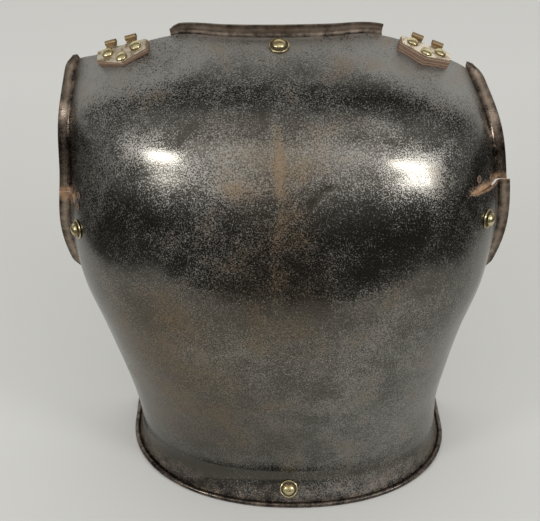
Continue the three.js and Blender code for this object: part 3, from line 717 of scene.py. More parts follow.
def line_hollow(shape, inner, outer, above):
    """Marks the faces of a ring-shaped hollow, so that they take the piece's second material."""
    for face in shape.faces:
        centre = face.calc_center_median() / MM
        if inner < centre.xy.length < outer and centre.z > above and face.normal.z > -0.5:
            face.material_index = 1
    return shape


def put(shape, turn, middle, low):
    """Stands a shape on a seat."""
    place = Matrix.Translation(middle + turn @ Vector((0, 0, low))) @ turn.to_4x4()
    bmesh.ops.transform(shape, matrix=place, verts=shape.verts)
    return shape


print("a dome 6 mm wide is", len(arc(0, 0, 6, 4, 0, 90, 9)), "points from its rim to its top")

# %% [markdown]
# ## Studs and rivets
# Each stud is a domed brass rivet through a dished brass washer, and its end is hammered over a
# burr, a small ring inside the plate. Heads alone would do for one picture. The burr and the
# hammered end are made too, because the object is seen from inside as well.

# %% Rivets and burrs
SHANK_ROOM = 0.3  # between a shank and the hole that it passes
PEEN = 1  # how far the hammered end spreads past the shank, and its height
FOOT = 0.35  # the upright foot of a dome
SOFT = 0.25  # the rounding of a burr


def burr_and_rivet(name, turn, dome, shank, rise):
    """The rivet of a stud from its hammered end to the top of its dome, and the burr under it."""
    middle, low, top = seat(f"{name}_rivet", turn)
    height = (top - low) / MM
    base = height - rise
    profile = [(0, 0), (shank + 0.6 * PEEN, 0.05), (shank + PEEN, 0.5 * PEEN), (shank + 0.9 * PEEN, PEEN),
               (shank, PEEN), (shank, base), (dome - 0.5, base)]
    profile += arc(0, base + FOOT, dome, rise - FOOT, 0, 90, 9)
    profile[-1] = (0, height)
    finish_mesh(f"{name}_dome", put(turned(profile), turn, middle, low), brass, "aged_brass",
                f"{name}_rivet")
    middle, low, top = seat(f"{name}_burr", turn)
    thick, radius = (top - low) / MM, float(np.ptp(measured(f"{name}_burr", turn)[:, 0])) / 2 / MM
    hole = shank + SHANK_ROOM
    ring = [(hole, 0), (radius - SOFT, 0), (radius, SOFT), (radius, thick - SOFT), (radius - SOFT, thick),
            (hole, thick), (hole, 0)]
    finish_mesh(f"{name}_inner_burr", put(turned(ring), turn, middle, low), brass, "aged_brass",
                f"{name}_burr")


print("a shank has", SHANK_ROOM, "mm of room in its hole")

# %% [markdown]
# A brass washer spreads the pull of each stud. Its rim is raised in a thin bead, and the dish inside
# is coloured a near-black brown, which draws the dark ring round every dome. The bead is part of the
# turned profile, and the faces of the dish take a second material, because a painted ring would lie flat.

# %% Dished washers
BEAD_RADIUS = 0.75


def dished_washer(name, turn, washer, dome, shank):
    """A washer whose rim is raised in a thin bead round the foot of the dome."""
    middle, low, top = seat(f"{name}_washer", turn)
    thick, hole, bead = (top - low) / MM, shank + SHANK_ROOM, BEAD_RADIUS
    profile = [(hole, 0), (washer - 0.4, 0), (washer, 0.35)]
    profile += arc(washer - bead, thick - bead, bead, bead, 0, 180, 6)
    profile += [(washer - 2 * bead - 0.3, thick - 0.45), (dome + 0.1, thick - 0.1), (dome - 0.8, thick),
                (hole, thick), (hole, 0)]
    shape = line_hollow(turned(profile, 48), dome - 0.8, washer - 2 * bead + 0.1, thick - 1)
    piece = finish_mesh(f"{name}_dished_washer", put(shape, turn, middle, low), brass, "aged_brass",
                        f"{name}_washer")
    piece.data.materials.append(hollow_fill)


print("a washer's bead is", 2 * BEAD_RADIUS, "mm wide")

# %% [markdown]
# Four studs sit on the plate: one at each side below the tears, one under the neck and one on the
# flare of the waist. The side studs are a little heavier. Their places are shares across and levels
# up the net and not lengths, so that they stay on the sheet if it changes.

# %% The four studs
STUDS = {  # place across and its level, radius of dome, washer and shank, and the dome's height
    "left_stud": (-0.85, 1.716, 6.0, 8.6, 2.2, 4.2),
    "right_stud": (0.83, 1.754, 6.0, 8.6, 2.2, 4.2),
    "neck_stud": (-0.01, 3.96, 5.9, 8.7, 2.0, 3.8),
    "waist_stud": (0, None, 6.0, 8.7, 2.0, 3.8),
}
WAIST_STUD_STEP = 0.58 * FLARE_ROWS
lower, upper = waist(np.zeros(2), WAIST_STUD_STEP + np.array([-0.1, 0.1]))
on_flare = square_to(np.cross(unit(upper - lower), (1, 0, 0)), (1, 0, 0))

for name, (across, level, dome, washer, shank, rise) in STUDS.items():
    turn = on_flare if level is None else surface_turn(across, level)
    burr_and_rivet(name, turn, dome, shank, rise)
    dished_washer(name, turn, washer, dome, shank)
print("studs:", ", ".join(STUDS))

# %% [markdown]
# ## The shoulder hinges
# A hinge leaf is cut from brass plate with two tabs, and each tab is rolled back on itself into a
# knuckle for a strap's pin. A thick leather pad lies under it and follows the plate. Three domed
# rivets hold both down. Leaf and pad share one five-sided outline, so it is a function of its own.

# %% Sizes of a hinge
PAD_WIDTH, PAD_SIDE, PAD_LENGTH, PAD_SETBACK = 45, 13, 21.5, 1
PAD_ROUND, LEAF_ROUND = 1.0, 1.2
LEAF_THICK, LEAF_INSET = 1.4, 0.6
LEAF_SEAT = 0.3  # between leaf and leather
TAB_ROOT, TAB_STRAIGHT = 2.4, 1.2
KNUCKLE_RADIUS, KNUCKLE_WIDTH, KNUCKLE_GAP, KNUCKLE_SETBACK = 3, 9.8, 8.2, -2.5
HINGE_DOME, HINGE_SHANK, HINGE_DOME_RISE = 5, 1.7, 2.8
RIVET_SPOTS = ("outer", "inner", "point")
HINGES = {"left_hinge": (-0.64, math.radians(1)), "right_hinge": (0.634, math.radians(13))}


def hinge_turn(across, lean):
    """x along the hinge, y down the back and z off the plate, with the point at the top edge."""
    edge, east, _, normal = frames(np.array([across]), np.array([4.0]))
    facing = normal[0] * math.cos(lean) + np.cross(normal[0], east[0]) * math.sin(lean)
    return square_to(facing, -east[0]), Vector((edge[0] + GROUND_SHIFT) * MM)


def pentagon(shape, inset, rounding):
    """The five-sided outline of a leaf or a pad as one face with rounded corners."""
    wide, near, side = PAD_WIDTH / 2 - inset, PAD_SETBACK + inset, PAD_SIDE - inset
    outline = [(-wide, near), (wide, near), (wide, side), (0, PAD_LENGTH - inset), (-wide, side)]
    face = shape.faces.new([shape.verts.new((x * MM, y * MM, 0)) for x, y in outline])
    bmesh.ops.bevel(shape, geom=face.verts[:], offset=rounding * MM, offset_type="OFFSET", segments=3,
                    profile=0.5, affect="VERTICES", material=-1)


def new_parts(made, kind):
    """The vertices or faces that an extrusion has made."""
    return [part for part in made["geom"] if isinstance(part, kind)]


print("hinges:", ", ".join(HINGES))

# %% [markdown]
# The leaf is extruded from its outline to the thickness of brass plate. Each knuckle starts as a
# line drawn from the side, straight out of the leaf and then round the pin's hole. Sweeping that
# line sideways makes a strip, and solidify gives it a wall, just as a tab of sheet is rolled. A cut
# tube would be simpler, but it wouldn't run on into the leaf.

# %% Brass leaves
def leaf_shape():
    """A flat leaf with two open knuckles at its far edge."""
    shape = bmesh.new()
    tarnish_and_shade = shape.verts.layers.float.new("tarnish_and_shade")
    pentagon(shape, LEAF_INSET, LEAF_ROUND)
    made = bmesh.ops.extrude_face_region(shape, geom=shape.faces[:])
    bmesh.ops.translate(shape, vec=(0, 0, LEAF_THICK * MM), verts=new_parts(made, bmesh.types.BMVert))
    roll = KNUCKLE_RADIUS - LEAF_THICK / 2
    path = [(PAD_SETBACK + TAB_ROOT, LEAF_THICK / 2), (KNUCKLE_SETBACK + TAB_STRAIGHT, LEAF_THICK / 2)]
    path += arc(KNUCKLE_SETBACK, KNUCKLE_RADIUS, roll, roll, 270, -48, 16)
    for side in (-1, 1):
        start = (side * (KNUCKLE_GAP + KNUCKLE_WIDTH) / 2 - KNUCKLE_WIDTH / 2) * MM
        verts = [shape.verts.new((start, y * MM, z * MM)) for y, z in path]
        edges = [shape.edges.new(pair) for pair in zip(verts, verts[1:])]
        made = bmesh.ops.extrude_edge_only(shape, edges=edges)
        bmesh.ops.translate(shape, vec=(KNUCKLE_WIDTH * MM, 0, 0), verts=new_parts(made, bmesh.types.BMVert))
        strip = new_parts(made, bmesh.types.BMFace)
        bmesh.ops.recalc_face_normals(shape, faces=strip)
        bmesh.ops.solidify(shape, geom=strip, thickness=LEAF_THICK / 2 * MM)
    # Knuckle vertices get 1, for a brown that is partly tarnish and partly painted shade
    for vertex in shape.verts:
        vertex[tarnish_and_shade] = 1 if vertex.co.z > (LEAF_THICK + 0.1) * MM else 0
    bmesh.ops.recalc_face_normals(shape, faces=shape.faces)
    return shape


seats = {}
for name, (across, lean) in HINGES.items():
    turn, corner = hinge_turn(across, lean)
    low = float(measured(f"{name}_leaf", turn, corner)[:, 2].min())
    seats[name] = (turn, corner, low)
    leaf = finish_mesh(f"{name}_brass_leaf", put(leaf_shape(), turn, corner, low), leaf_brass,
                       "aged_brass", f"{name}_leaf")
    soften(leaf, 0.3)
    for spot in RIVET_SPOTS:
        burr_and_rivet(f"{name}_{spot}", turn, HINGE_DOME, HINGE_SHANK, HINGE_DOME_RISE)
    print(name, "leaf lies", round(low / MM, 2), "mm off the edge of the plate")

# %% [markdown]
# The pad is thick hide, cut to the leaf's outline and squeezed between the leaf and the curved
# plate. Its top is flat. Its underside is found by looking down from every vertex until the plate
# is met, because a pad with two flat faces would leave a gap or sink in. Each vertex also keeps a
# number, 0 on top and 1 underneath, from which the leather's layers are coloured.

# %% Leather pads
# Room over the plate, the least thickness, and how far above a vertex the look down starts
PAD_ROOM, THINNEST, LOOK_FROM = 0.1, 0.8, 10
view_layer = bpy.context.view_layer
view_layer.update()
under = BVHTree.FromObject(plate, view_layer.depsgraph)


def pad_shape(turn, corner, top):
    """A pad whose top is flat under the leaf and whose underside lies on the plate."""
    shape = bmesh.new()
    depths = shape.verts.layers.float.new("depth")
    pentagon(shape, 0, PAD_ROUND)
    bmesh.ops.subdivide_edges(shape, edges=[e for e in shape.edges if e.calc_length() > 4 * MM],
                              cuts=7, use_grid_fill=False)
    made = bmesh.ops.extrude_face_region(shape, geom=shape.faces[:])
    put(shape, turn, corner, top)
    out = turn @ Vector((0, 0, 1))
    for vertex in new_parts(made, bmesh.types.BMVert):
        hit = under.ray_cast(vertex.co + out * LOOK_FROM * MM, -out)
        depth = (vertex.co - hit[0]).dot(out) if hit[0] else 0
        vertex.co -= out * max(depth - PAD_ROOM * MM, THINNEST * MM)
        vertex[depths] = 1
    bmesh.ops.recalc_face_normals(shape, faces=shape.faces)
    return shape


for name, (turn, corner, low) in seats.items():
    pad = finish_mesh(f"{name}_pad", pad_shape(turn, corner, low - LEAF_SEAT * MM), leather,
                      "brown_leather", f"{name}_leather")
    soften(pad, 0.5)
print("pads:", ", ".join(seats))

# %% [markdown]
# ## The repairs
# The tears were patched from inside long ago. The patches are held by small iron rivets with
# hollow heads, which show as little rings. Near the right tear one rivet is lost and its hole is
# empty. The rings are turned on the same lathe as the studs, from a profile with a hollow.

# %% Ring rivets
REPAIRS = {"left_repair": [(-0.95, 1.95), (-0.95, 3.036), (-0.86, 1.95), (-0.86, 3.036)],
           "right_repair": [(0.79, 3.1), (0.91, 3.06)]}
RING, CORE, WALL, CREST = 3.2, 1.3, 0.6, 0.55
for name, spots in REPAIRS.items():
    for k, (across, level) in enumerate(spots, 1):
        turn = surface_turn(across, level)
        node = f"{name}_rivet_{k}"
        middle, low, top = seat(node, turn)
        height = (top - low) / MM
        profile = [(0, 0), (RING - 0.3, 0), (RING, 0.3), (RING, 0.8), (CORE, 0.9), (CORE, height - 0.9),
                   (RING - 0.2, height - 0.9), (RING, height - 0.6)]
        profile += arc(RING - WALL, height - CREST, WALL, CREST, 10, 170, 5)
        profile += [(1.9, height - CREST), (1.7, height - 0.68), (0, height - 0.7)]
        shape = line_hollow(turned(profile, 28), 0, 2.05, height - 1.0)
        ring = finish_mesh(f"{node}_ring", put(shape, turn, middle, low), iron, "old_iron", node)
        ring.data.materials.append(hollow_fill)
for node in ("left_repair_patch", "right_repair_patch", "waist_wire"):
    nodes[node].data.materials.clear()
    nodes[node].data.materials.append(iron)
print("ring rivets:", sum(len(spots) for spots in REPAIRS.values()))

# %% [markdown]
# ## Materials
# Every finish is built from noise patterns on Object coordinates, so it stays on the metal from
# every side, while an image would need unwrapping and fit one view best. Each pattern's scale comes
# from the size of the real grain. One helper adds a node, and one turns the hex colours that
# painters use into the linear values that a shader needs.

# %% Material helpers
def hue(code):
    """An sRGB hex colour as linear red, green, blue and alpha."""
    parts = [int(code[k:k + 2], 16) / 255 for k in (1, 3, 5)]
    return [c / 12.92 if c <= 0.04045 else ((c + 0.055) / 1.055) ** 2.4 for c in parts] + [1]


def add(owner, kind, inputs=None, **settings):
    """Adds a node with its settings. An input is a value, a socket, or a node with its first output."""
    tree = owner.node_tree
    node = tree.nodes.new(kind)
    for name, value in settings.items():
        setattr(node, name, value)
    for name, value in (inputs or {}).items():
        if isinstance(value, bpy.types.Node):
            value = next(output for output in value.outputs if output.enabled)
        if isinstance(value, bpy.types.NodeSocket):
            tree.links.new(value, node.inputs[name])
        else:
            node.inputs[name].default_value = value
    return node


def grain(size_mm):
    """The noise scale whose lumps are about this many millimetres across."""
    return 1000 / size_mm


def blank(owner, coordinates="Object"):
    """Empties a material or the world and gives the coordinates that its patterns lie on."""
    owner.use_nodes = True
    owner.node_tree.nodes.clear()
    return add(owner, "ShaderNodeTexCoord").outputs[coordinates]


print("a 1.1 mm grain has a noise scale of", round(grain(1.1)))

# %% [markdown]
# The plate is carbon steel, raised with hammers and polished when it was new. It has lost its
# polish: most of it has turned a dark smooth brown-grey, and fine pale flecks stand in it where the
# metal has been scoured. The flecks are rougher than the dark skin, so they glow in a wide ring
# round each highlight. Turned edges have gone dark brown, and rust has crept out of the tears and
# from under the rivets of the repairs. A picture of old steel would bring its own highlights along.
# Mixing a few plain colours by noise of four sizes leaves the shine to the lamps and the room, and
# light and dark areas come from how close the flecks lie. In places that is painted light: a painted
# reflection near the top edge, and painted shade in the waist's hollow and in the dents.

# %% Flecks and dark skin of the steel
# Real flecks are a few tenths of a millimetre wide, too fine to show, so they are drawn at 1.1 mm.
FLECK, LUMP, PATCH, CLOUD = 1.1, 8, 34, 110
place = blank(steel)
fine, medium, mottle, clouds = (
    add(steel, "ShaderNodeTexNoise",
        {"Vector": place, "Scale": grain(size), "Detail": detail, "Roughness": roughness})
    for size, detail, roughness in ((FLECK, 1, 0.5), (LUMP, 3, 0.6), (PATCH, 4, 0.6), (CLOUD, 2, 0.5)))
rust, edge, lip_sheen, streak, brown, scour_and_painted_light = (
    add(steel, "ShaderNodeAttribute", attribute_name=name).outputs["Fac"]
    for name in ("rust", "edge", "lip_sheen", "streak", "brown", "scour_and_painted_light"))

# The layer of bared places, which also paints light and shade, thickens the flecks
cover = 0
for part, weight in ((fine, 1.8), (medium, 0.3), (mottle, 0.95), (clouds, 0.7), (scour_and_painted_light, 0.34), (streak, 0.34)):
    cover = add(steel, "ShaderNodeMath", {0: part, 1: weight, 2: cover}, operation="MULTIPLY_ADD")
fleck = add(steel, "ShaderNodeMapRange", {"Value": cover, "From Min": 1.66, "From Max": 2.49},
            interpolation_type="SMOOTHSTEP")

# Flecks are pale grey, and brown in patches on the left and along the spine
smudge = mottle
for part, weight in ((brown, 0.34), (streak, 0.26)):
    smudge = add(steel, "ShaderNodeMath", {0: part, 1: weight, 2: smudge}, operation="MULTIPLY_ADD")
smudge = add(steel, "ShaderNodeMapRange", {"Value": smudge, "From Min": 0.51, "From Max": 0.86},
             interpolation_type="SMOOTHSTEP")
pale = add(steel, "ShaderNodeMix", {"Factor": smudge, "A": hue("#a5a39e"), "B": hue("#95836d")},
           data_type="RGBA")
skin = add(steel, "ShaderNodeMix", {"Factor": brown, "A": hue("#56534d"), "B": hue("#5a4f41")},
           data_type="RGBA")
metal = add(steel, "ShaderNodeMix", {"Factor": fleck, "A": skin, "B": pale}, data_type="RGBA")
print("steel nodes so far:", len(steel.node_tree.nodes))

# %% [markdown]
# On the turned edges the dark brown is thicker and worn through in spots. It is paler along the
# painted sheen on each lip and darker in the fillet under it, as painted shade. Rust lies over
# everything as a matt crust that the light no longer meets as metal, so it is rougher and less
# metallic. Both could be materials of their own, but then they would end in a hard line, so each is
# laid over the last by a soft factor. The bump comes from the same number as the flecks, so each
# fleck stands slightly proud, as the spots that a cloth scours do.

# %% Dark edges, rust and gloss of the steel
FLECK_RISE = 0.08
wear_and_painted_sheen = add(steel, "ShaderNodeMath", {0: fine, 1: 0.3, 2: medium}, operation="MULTIPLY_ADD")
# Random wear, plus the painted sheen along each lip
wear_and_painted_sheen = add(steel, "ShaderNodeMath", {0: lip_sheen, 1: 0.42, 2: wear_and_painted_sheen}, operation="MULTIPLY_ADD")
wear_and_painted_sheen = add(steel, "ShaderNodeMapRange", {"Value": wear_and_painted_sheen, "From Min": 0.52, "From Max": 1.3})
# Dark brown edge colour, darkest in the fillets as painted shade and palest on the painted sheen
edge_wear_and_painted_light = add(steel, "ShaderNodeMix", {"Factor": wear_and_painted_sheen, "A": hue("#2b2623"), "B": hue("#b09e8d")},
             data_type="RGBA")
edged = add(steel, "ShaderNodeMix", {"Factor": edge, "A": metal, "B": edge_wear_and_painted_light}, data_type="RGBA")

crust = add(steel, "ShaderNodeMix", {"Factor": medium, "A": hue("#3f3026"), "B": hue("#e0b48c")},
            data_type="RGBA")
eaten = add(steel, "ShaderNodeMath", {0: fine, 1: medium}, operation="ADD")
eaten = add(steel, "ShaderNodeMath", {0: rust, 1: eaten}, operation="MULTIPLY")
rusty = add(steel, "ShaderNodeMapRange", {"Value": eaten, "From Min": 0.36, "From Max": 1},
            interpolation_type="SMOOTHSTEP")
colour = add(steel, "ShaderNodeMix", {"Factor": rusty, "A": edged, "B": crust}, data_type="RGBA")

gloss = add(steel, "ShaderNodeMapRange", {"Value": fleck, "To Min": 0.17, "To Max": 0.56})
gloss = add(steel, "ShaderNodeMath", {0: brown, 1: 0.1, 2: gloss}, operation="MULTIPLY_ADD")
rough = add(steel, "ShaderNodeMix", {"Factor": rusty, "A": gloss, "B": 0.65})
metallic = add(steel, "ShaderNodeMapRange", {"Value": rusty, "To Min": 1, "To Max": 0.4})
bumps = add(steel, "ShaderNodeBump", {"Height": cover, "Distance": FLECK_RISE * MM, "Strength": 0.3})
shader = add(steel, "ShaderNodeBsdfPrincipled",
             {"Base Color": colour, "Roughness": rough, "Metallic": metallic, "Normal": bumps})
add(steel, "ShaderNodeOutputMaterial", {"Surface": shader})
print("steel nodes:", len(steel.node_tree.nodes))

# %% [markdown]
# The studs are cast brass, polished by hand: pale yellow, with brown tarnish where the cloth has
# missed. The hinge leaves are rolled brass, paler and duller, and brown on their rolled knuckles,
# which is partly tarnish and partly painted shade. Both are the same metal with another finish, so
# one function makes both from two colours and a roughness. Fine bumps break up the reflections, as
# polishing scratches do.

# %% Aged brass, cast and rolled
# Real scratches are finer than a hair, so they are drawn as bumps of 0.8 mm, coarse enough to show.
TARNISH, SCRATCH, SCRATCH_DEPTH = 6, 0.8, 0.06
DULLER = 0.18


def make_brass(owner, bright, stained, polish):
    """Brass between a bright and a stained colour, and as rough as its polish leaves it."""
    place = blank(owner)
    tarnish = add(owner, "ShaderNodeTexNoise", {"Vector": place, "Scale": grain(TARNISH), "Detail": 4})
    scratches = add(owner, "ShaderNodeTexNoise", {"Vector": place, "Scale": grain(SCRATCH), "Detail": 2})
    dull = add(owner, "ShaderNodeMapRange", {"Value": tarnish, "From Min": 0.42, "From Max": 0.7},
               interpolation_type="SMOOTHSTEP")
    # Knuckles take the stained colour: partly tarnish, partly painted shade
    knuckles = add(owner, "ShaderNodeAttribute", attribute_name="tarnish_and_shade").outputs["Fac"]
    dull = add(owner, "ShaderNodeMath", {0: dull, 1: knuckles}, operation="MAXIMUM")
    colour = add(owner, "ShaderNodeMix", {"Factor": dull, "A": hue(bright), "B": hue(stained)},
                 data_type="RGBA")
    rough = add(owner, "ShaderNodeMapRange", {"Value": dull, "To Min": polish, "To Max": polish + DULLER})
    bumps = add(owner, "ShaderNodeBump",
                {"Height": scratches, "Distance": SCRATCH_DEPTH * MM, "Strength": 0.4})
    shader = add(owner, "ShaderNodeBsdfPrincipled",
                 {"Base Color": colour, "Roughness": rough, "Metallic": 1, "Normal": bumps})
    add(owner, "ShaderNodeOutputMaterial", {"Surface": shader})
    print(owner.name, "nodes:", len(owner.node_tree.nodes))


make_brass(brass, "#cfc399", "#94805b", 0.22)
make_brass(leaf_brass, "#e3d8c4", "#988364", 0.36)

# %% [markdown]
# The ring rivets, the patches and the wire are wrought iron, forged and left rough. They are rusted
# all over: brown scales with paler powder between them, matt, and only partly a metal to the light.
# One noise alone would look like felt, so two are used, one for the scales and one for the larger
# patches, and the scales also stand up as bumps.

# %% Rusted forged iron
SCALES, RUST_PATCH, SCALE_DEPTH = 1.4, 8, 0.15
place = blank(iron)
scales = add(iron, "ShaderNodeTexNoise", {"Vector": place, "Scale": grain(SCALES), "Detail": 4})
patches = add(iron, "ShaderNodeTexNoise", {"Vector": place, "Scale": grain(RUST_PATCH), "Detail": 3})
powder = add(iron, "ShaderNodeMix", {"Factor": scales, "A": hue("#45342a"), "B": hue("#a98b70")},
             data_type="RGBA")
colour = add(iron, "ShaderNodeMix", {"Factor": patches, "A": powder, "B": hue("#66564a")}, data_type="RGBA")
rough = add(iron, "ShaderNodeMapRange", {"Value": scales, "To Min": 0.45, "To Max": 0.75})
crusty = add(iron, "ShaderNodeBump", {"Height": scales, "Distance": SCALE_DEPTH * MM, "Strength": 0.6})
shader = add(iron, "ShaderNodeBsdfPrincipled",
             {"Base Color": colour, "Roughness": rough, "Metallic": 0.4, "Normal": crusty})
add(iron, "ShaderNodeOutputMaterial", {"Surface": shader})
print("iron nodes:", len(iron.node_tree.nodes))

# %% [markdown]
# The pads are cowhide, tanned with bark and gone hard: a dry pale surface, and a cut edge in dark
# and light layers with a slight shine. The layers can't come from a height, because both pads lean.
# They come from the number between 0 and 1 that runs down the cut edge, and fibre noise makes them
# waver.

# %% Vegetable tanned cowhide
# Real pores are about 0.2 mm wide, so they are drawn at 1.1 mm, coarse enough to show.
PORE, FIBRE, CREASE_DEPTH = 1.1, 3, 0.2
PLIES, PLY_WAVES = 2.3, 2.6  # how far the layers' noise runs from top to bottom, and its waves
place = blank(leather)
pores = add(leather, "ShaderNodeTexVoronoi", {"Vector": place, "Scale": grain(PORE)})
fibres = add(leather, "ShaderNodeTexNoise",
             {"Vector": place, "Scale": grain(FIBRE), "Detail": 5, "Roughness": 0.7})
depth = add(leather, "ShaderNodeAttribute", attribute_name="depth").outputs["Fac"]
plies = add(leather, "ShaderNodeMath", {0: depth, 1: PLIES, 2: fibres}, operation="MULTIPLY_ADD")
plies = add(leather, "ShaderNodeTexNoise", {"W": plies, "Scale": PLY_WAVES, "Detail": 1},
            noise_dimensions="1D")
tan = add(leather, "ShaderNodeMapRange", {"Value": plies, "From Min": 0.3, "From Max": 0.7})
colour = add(leather, "ShaderNodeMix", {"Factor": tan, "A": hue("#35271f"), "B": hue("#9f826b")},
             data_type="RGBA")
rough = add(leather, "ShaderNodeMapRange", {"Value": fibres, "To Min": 0.5, "To Max": 0.8})
creases = add(leather, "ShaderNodeMath", {0: pores, 1: fibres}, operation="ADD")
grainy = add(leather, "ShaderNodeBump", {"Height": creases, "Distance": CREASE_DEPTH * MM, "Strength": 0.5})
shader = add(leather, "ShaderNodeBsdfPrincipled",
             {"Base Color": colour, "Roughness": rough, "Normal": grainy})
add(leather, "ShaderNodeOutputMaterial", {"Surface": shader})
print("leather nodes:", len(leather.node_tree.nodes))

# %% [markdown]
# The dish of each washer and the rings of the repair rivets are coloured a dry, matt, near-black
# brown that is no metal. Dark paint on the brass would still shine like brass, so the hollows have
# this material of their own.

# %% Near-black fill in the hollows
# The grain is drawn at 0.7 mm, coarse enough to show.
FILL_GRAIN, FILL_GRAIN_DEPTH = 0.7, 0.15
place = blank(hollow_fill)
fill_grain = add(hollow_fill, "ShaderNodeTexNoise", {"Vector": place, "Scale": grain(FILL_GRAIN), "Detail": 3})
colour = add(hollow_fill, "ShaderNodeMix", {"Factor": fill_grain, "A": hue("#1c1713"), "B": hue("#5a4a38")},
             data_type="RGBA")
lumpy = add(hollow_fill, "ShaderNodeBump", {"Height": fill_grain, "Distance": FILL_GRAIN_DEPTH * MM, "Strength": 0.6})
shader = add(hollow_fill, "ShaderNodeBsdfPrincipled", {"Base Color": colour, "Roughness": 0.7, "Normal": lumpy})
add(hollow_fill, "ShaderNodeOutputMaterial", {"Surface": shader})
print("dirt nodes:", len(hollow_fill.node_tree.nodes))

# %% [markdown]
# ## The floor
# The plate stands on a strip of pale studio paper 1.3 m wide. Steel mirrors its surroundings, so
# the strip's edges matter: the reflection of the paper is bright, and that of the floor beside it
# is dark. The camera sees pale paper everywhere, so the floor is one large sheet, whose dark part
# shows only to mirrored rays. A real strip of paper would show its edges in the picture.

# %% Floor
PAPER_HALF_WIDTH, PAPER_FRONT, FLOOR_HALF = 0.65, -0.47, 4
FADE_SIZE = 909  # the paper's slow change of tone, in millimetres
floor_shape = bmesh.new()
bmesh.ops.create_grid(floor_shape, x_segments=1, y_segments=1, size=1)
bmesh.ops.scale(floor_shape, vec=(FLOOR_HALF, FLOOR_HALF, 1), verts=floor_shape.verts)
floor_mesh = bpy.data.meshes.new("floor")
floor_shape.to_mesh(floor_mesh)
floor_shape.free()
floor = bpy.data.objects.new("floor", floor_mesh)
bpy.context.collection.objects.link(floor)
floor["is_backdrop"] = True

paper = bpy.data.materials.new("matt studio paper")
place = blank(paper)
fade = add(paper, "ShaderNodeTexNoise", {"Vector": place, "Scale": grain(FADE_SIZE), "Detail": 1})
spot = add(paper, "ShaderNodeSeparateXYZ", {"Vector": place})
# Painted light: the paper turns darker towards the front and paler towards the back, on top of a slow random
# change of tone
painted_falloff = add(paper, "ShaderNodeMath", {0: fade, 1: 0.3, 2: spot.outputs["Y"]}, operation="MULTIPLY_ADD")
painted_falloff = add(paper, "ShaderNodeMapRange", {"Value": painted_falloff, "From Min": -0.35, "From Max": 1.1})
tint = add(paper, "ShaderNodeMix", {"Factor": painted_falloff, "A": hue("#cececa"), "B": hue("#e9e9e6")},
           data_type="RGBA")
aside = add(paper, "ShaderNodeMath", {0: spot.outputs["X"]}, operation="ABSOLUTE")
within = add(paper, "ShaderNodeMath", {0: aside, 1: PAPER_HALF_WIDTH}, operation="LESS_THAN")
behind = add(paper, "ShaderNodeMath", {0: spot.outputs["Y"], 1: PAPER_FRONT}, operation="GREATER_THAN")
on_paper = add(paper, "ShaderNodeMath", {0: within, 1: behind}, operation="MULTIPLY")
dark = add(paper, "ShaderNodeMath", {0: 1, 1: on_paper}, operation="SUBTRACT")
mirrored = add(paper, "ShaderNodeLightPath").outputs["Is Glossy Ray"]
dark = add(paper, "ShaderNodeMath", {0: dark, 1: mirrored}, operation="MULTIPLY")
colour = add(paper, "ShaderNodeMix", {"Factor": dark, "A": tint, "B": hue("#4a4845")}, data_type="RGBA")
shader = add(paper, "ShaderNodeBsdfPrincipled", {"Base Color": colour, "Roughness": 0.9})
add(paper, "ShaderNodeOutputMaterial", {"Surface": shader})
floor_mesh.materials.append(paper)
print("paper", 2 * PAPER_HALF_WIDTH, "m wide from y =", PAPER_FRONT)

# %% [markdown]
# ## The lamps
# The two bright spots on the shoulder blades are reflections of two small soft lamps, left and
# right of the camera. They are oval and tilted, because a curved plate mirrors a lamp's shape and a
# square one would look like a window. A wide dim one behind and above the camera fills the
# shadows. Each is given by the two ends of its long axis, which is easier to set than a rotation.

# %% Lamps
AIM = Vector((0, -0.05, 0.37))
LAMPS = {  # both ends and the height in metres, watts and the outline
    "lamp_left": ((-1.3, -0.72, 0.76), (-0.92, -1.01, 0.96), 0.14, 5.7, "ELLIPSE"),
    "lamp_right": ((0.84, -1.07, 1.02), (1.3, -0.7, 0.56), 0.12, 6.9, "ELLIPSE"),
    "lamp_front": ((-0.95, -1.1, 1.2), (0.95, -1.1, 1.2), 0.55, 2.6, "RECTANGLE"),
}


def soft_lamp(name, start, end, height, power, shape):
    """A long soft lamp from one end to the other, turned so that its face looks at the plate."""
    along = (end - start).normalized()
    middle = (start + end) / 2
    back = middle - AIM
    back = (back - along * back.dot(along)).normalized()
    lamp = bpy.data.objects.new(name, bpy.data.lights.new(name, "AREA"))
    lamp.data.shape = shape
    lamp.data.size, lamp.data.size_y = (end - start).length, height
    lamp.data.energy = power
    turn = Matrix((along, back.cross(along), back)).transposed().to_4x4()
    lamp.matrix_world = Matrix.Translation(middle) @ turn
    bpy.context.collection.objects.link(lamp)


for name, (start, end, *rest) in LAMPS.items():
    soft_lamp(name, Vector(start), Vector(end), *rest)
print("lamps:", ", ".join(LAMPS))

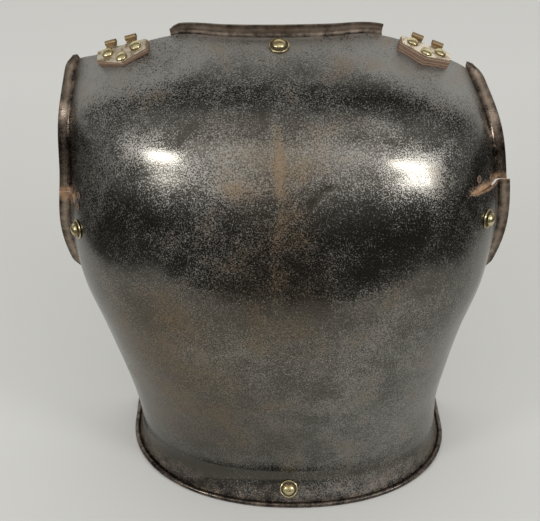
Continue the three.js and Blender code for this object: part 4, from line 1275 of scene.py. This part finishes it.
# %% [markdown]
# ## The room
# Polished steel is the colour of what it mirrors, so an empty grey room would make it look like
# plastic. For mirrored rays the world is therefore a simple room: dim low down on the camera's
# side and brighter towards the ceiling, a dark strip overhead, a bright backdrop behind the plate,
# and half-bright walls at both sides. The strip gives the dark arch under the neck, and the dim
# room and the dark floor give the band under the shoulder blades. All other rays meet one even pale
# light, which keeps the colours plain.

# %% Room
EVEN_LIGHT = 0.66
world = bpy.data.worlds.new("studio room")
bpy.context.scene.world = world
towards = add(world, "ShaderNodeSeparateXYZ", {"Vector": blank(world, "Generated")})
aside = add(world, "ShaderNodeMath", {0: towards.outputs["X"]}, operation="ABSOLUTE")
upwards, away = towards.outputs["Z"], towards.outputs["Y"]
wall, near_side, backdrop, side_wall = (
    add(world, "ShaderNodeMapRange",
        {"Value": value, "From Min": start, "From Max": end, "To Min": first, "To Max": last},
        interpolation_type="SMOOTHSTEP")
    for value, start, end, first, last in (
        (upwards, -0.2, 0.75, 0.11, 0.75), (away, -0.3, 0.3, 1, 0.08),
        (away, 0.31, 0.45, 0, 0.95), (aside, 0.86, 0.98, 0, 0.4)))
glow = add(world, "ShaderNodeMath", {0: wall, 1: near_side}, operation="MULTIPLY")
for part in (backdrop, side_wall):
    glow = add(world, "ShaderNodeMath", {0: glow, 1: part}, operation="MAXIMUM")
mirrored = add(world, "ShaderNodeLightPath").outputs["Is Glossy Ray"]
bright = add(world, "ShaderNodeMix", {"Factor": mirrored, "A": EVEN_LIGHT, "B": glow})
sky = add(world, "ShaderNodeBackground", {"Color": hue("#fdfcf9"), "Strength": bright})
add(world, "ShaderNodeOutputWorld", {"Surface": sky})
bpy.context.scene.view_settings.view_transform = "Standard"
print("room nodes:", len(world.node_tree.nodes))

# %% [markdown]
# ## Last sizes
# The finished piece should be no bigger than the measured model, so both boxes are printed.

# %% Sizes and finish
new_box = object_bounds()
for name, (low, top) in (("cad", cad_box), ("visual", new_box)):
    print(name, "box in mm:", [round(v * 1000, 1) for v in low], [round(v * 1000, 1) for v in top])
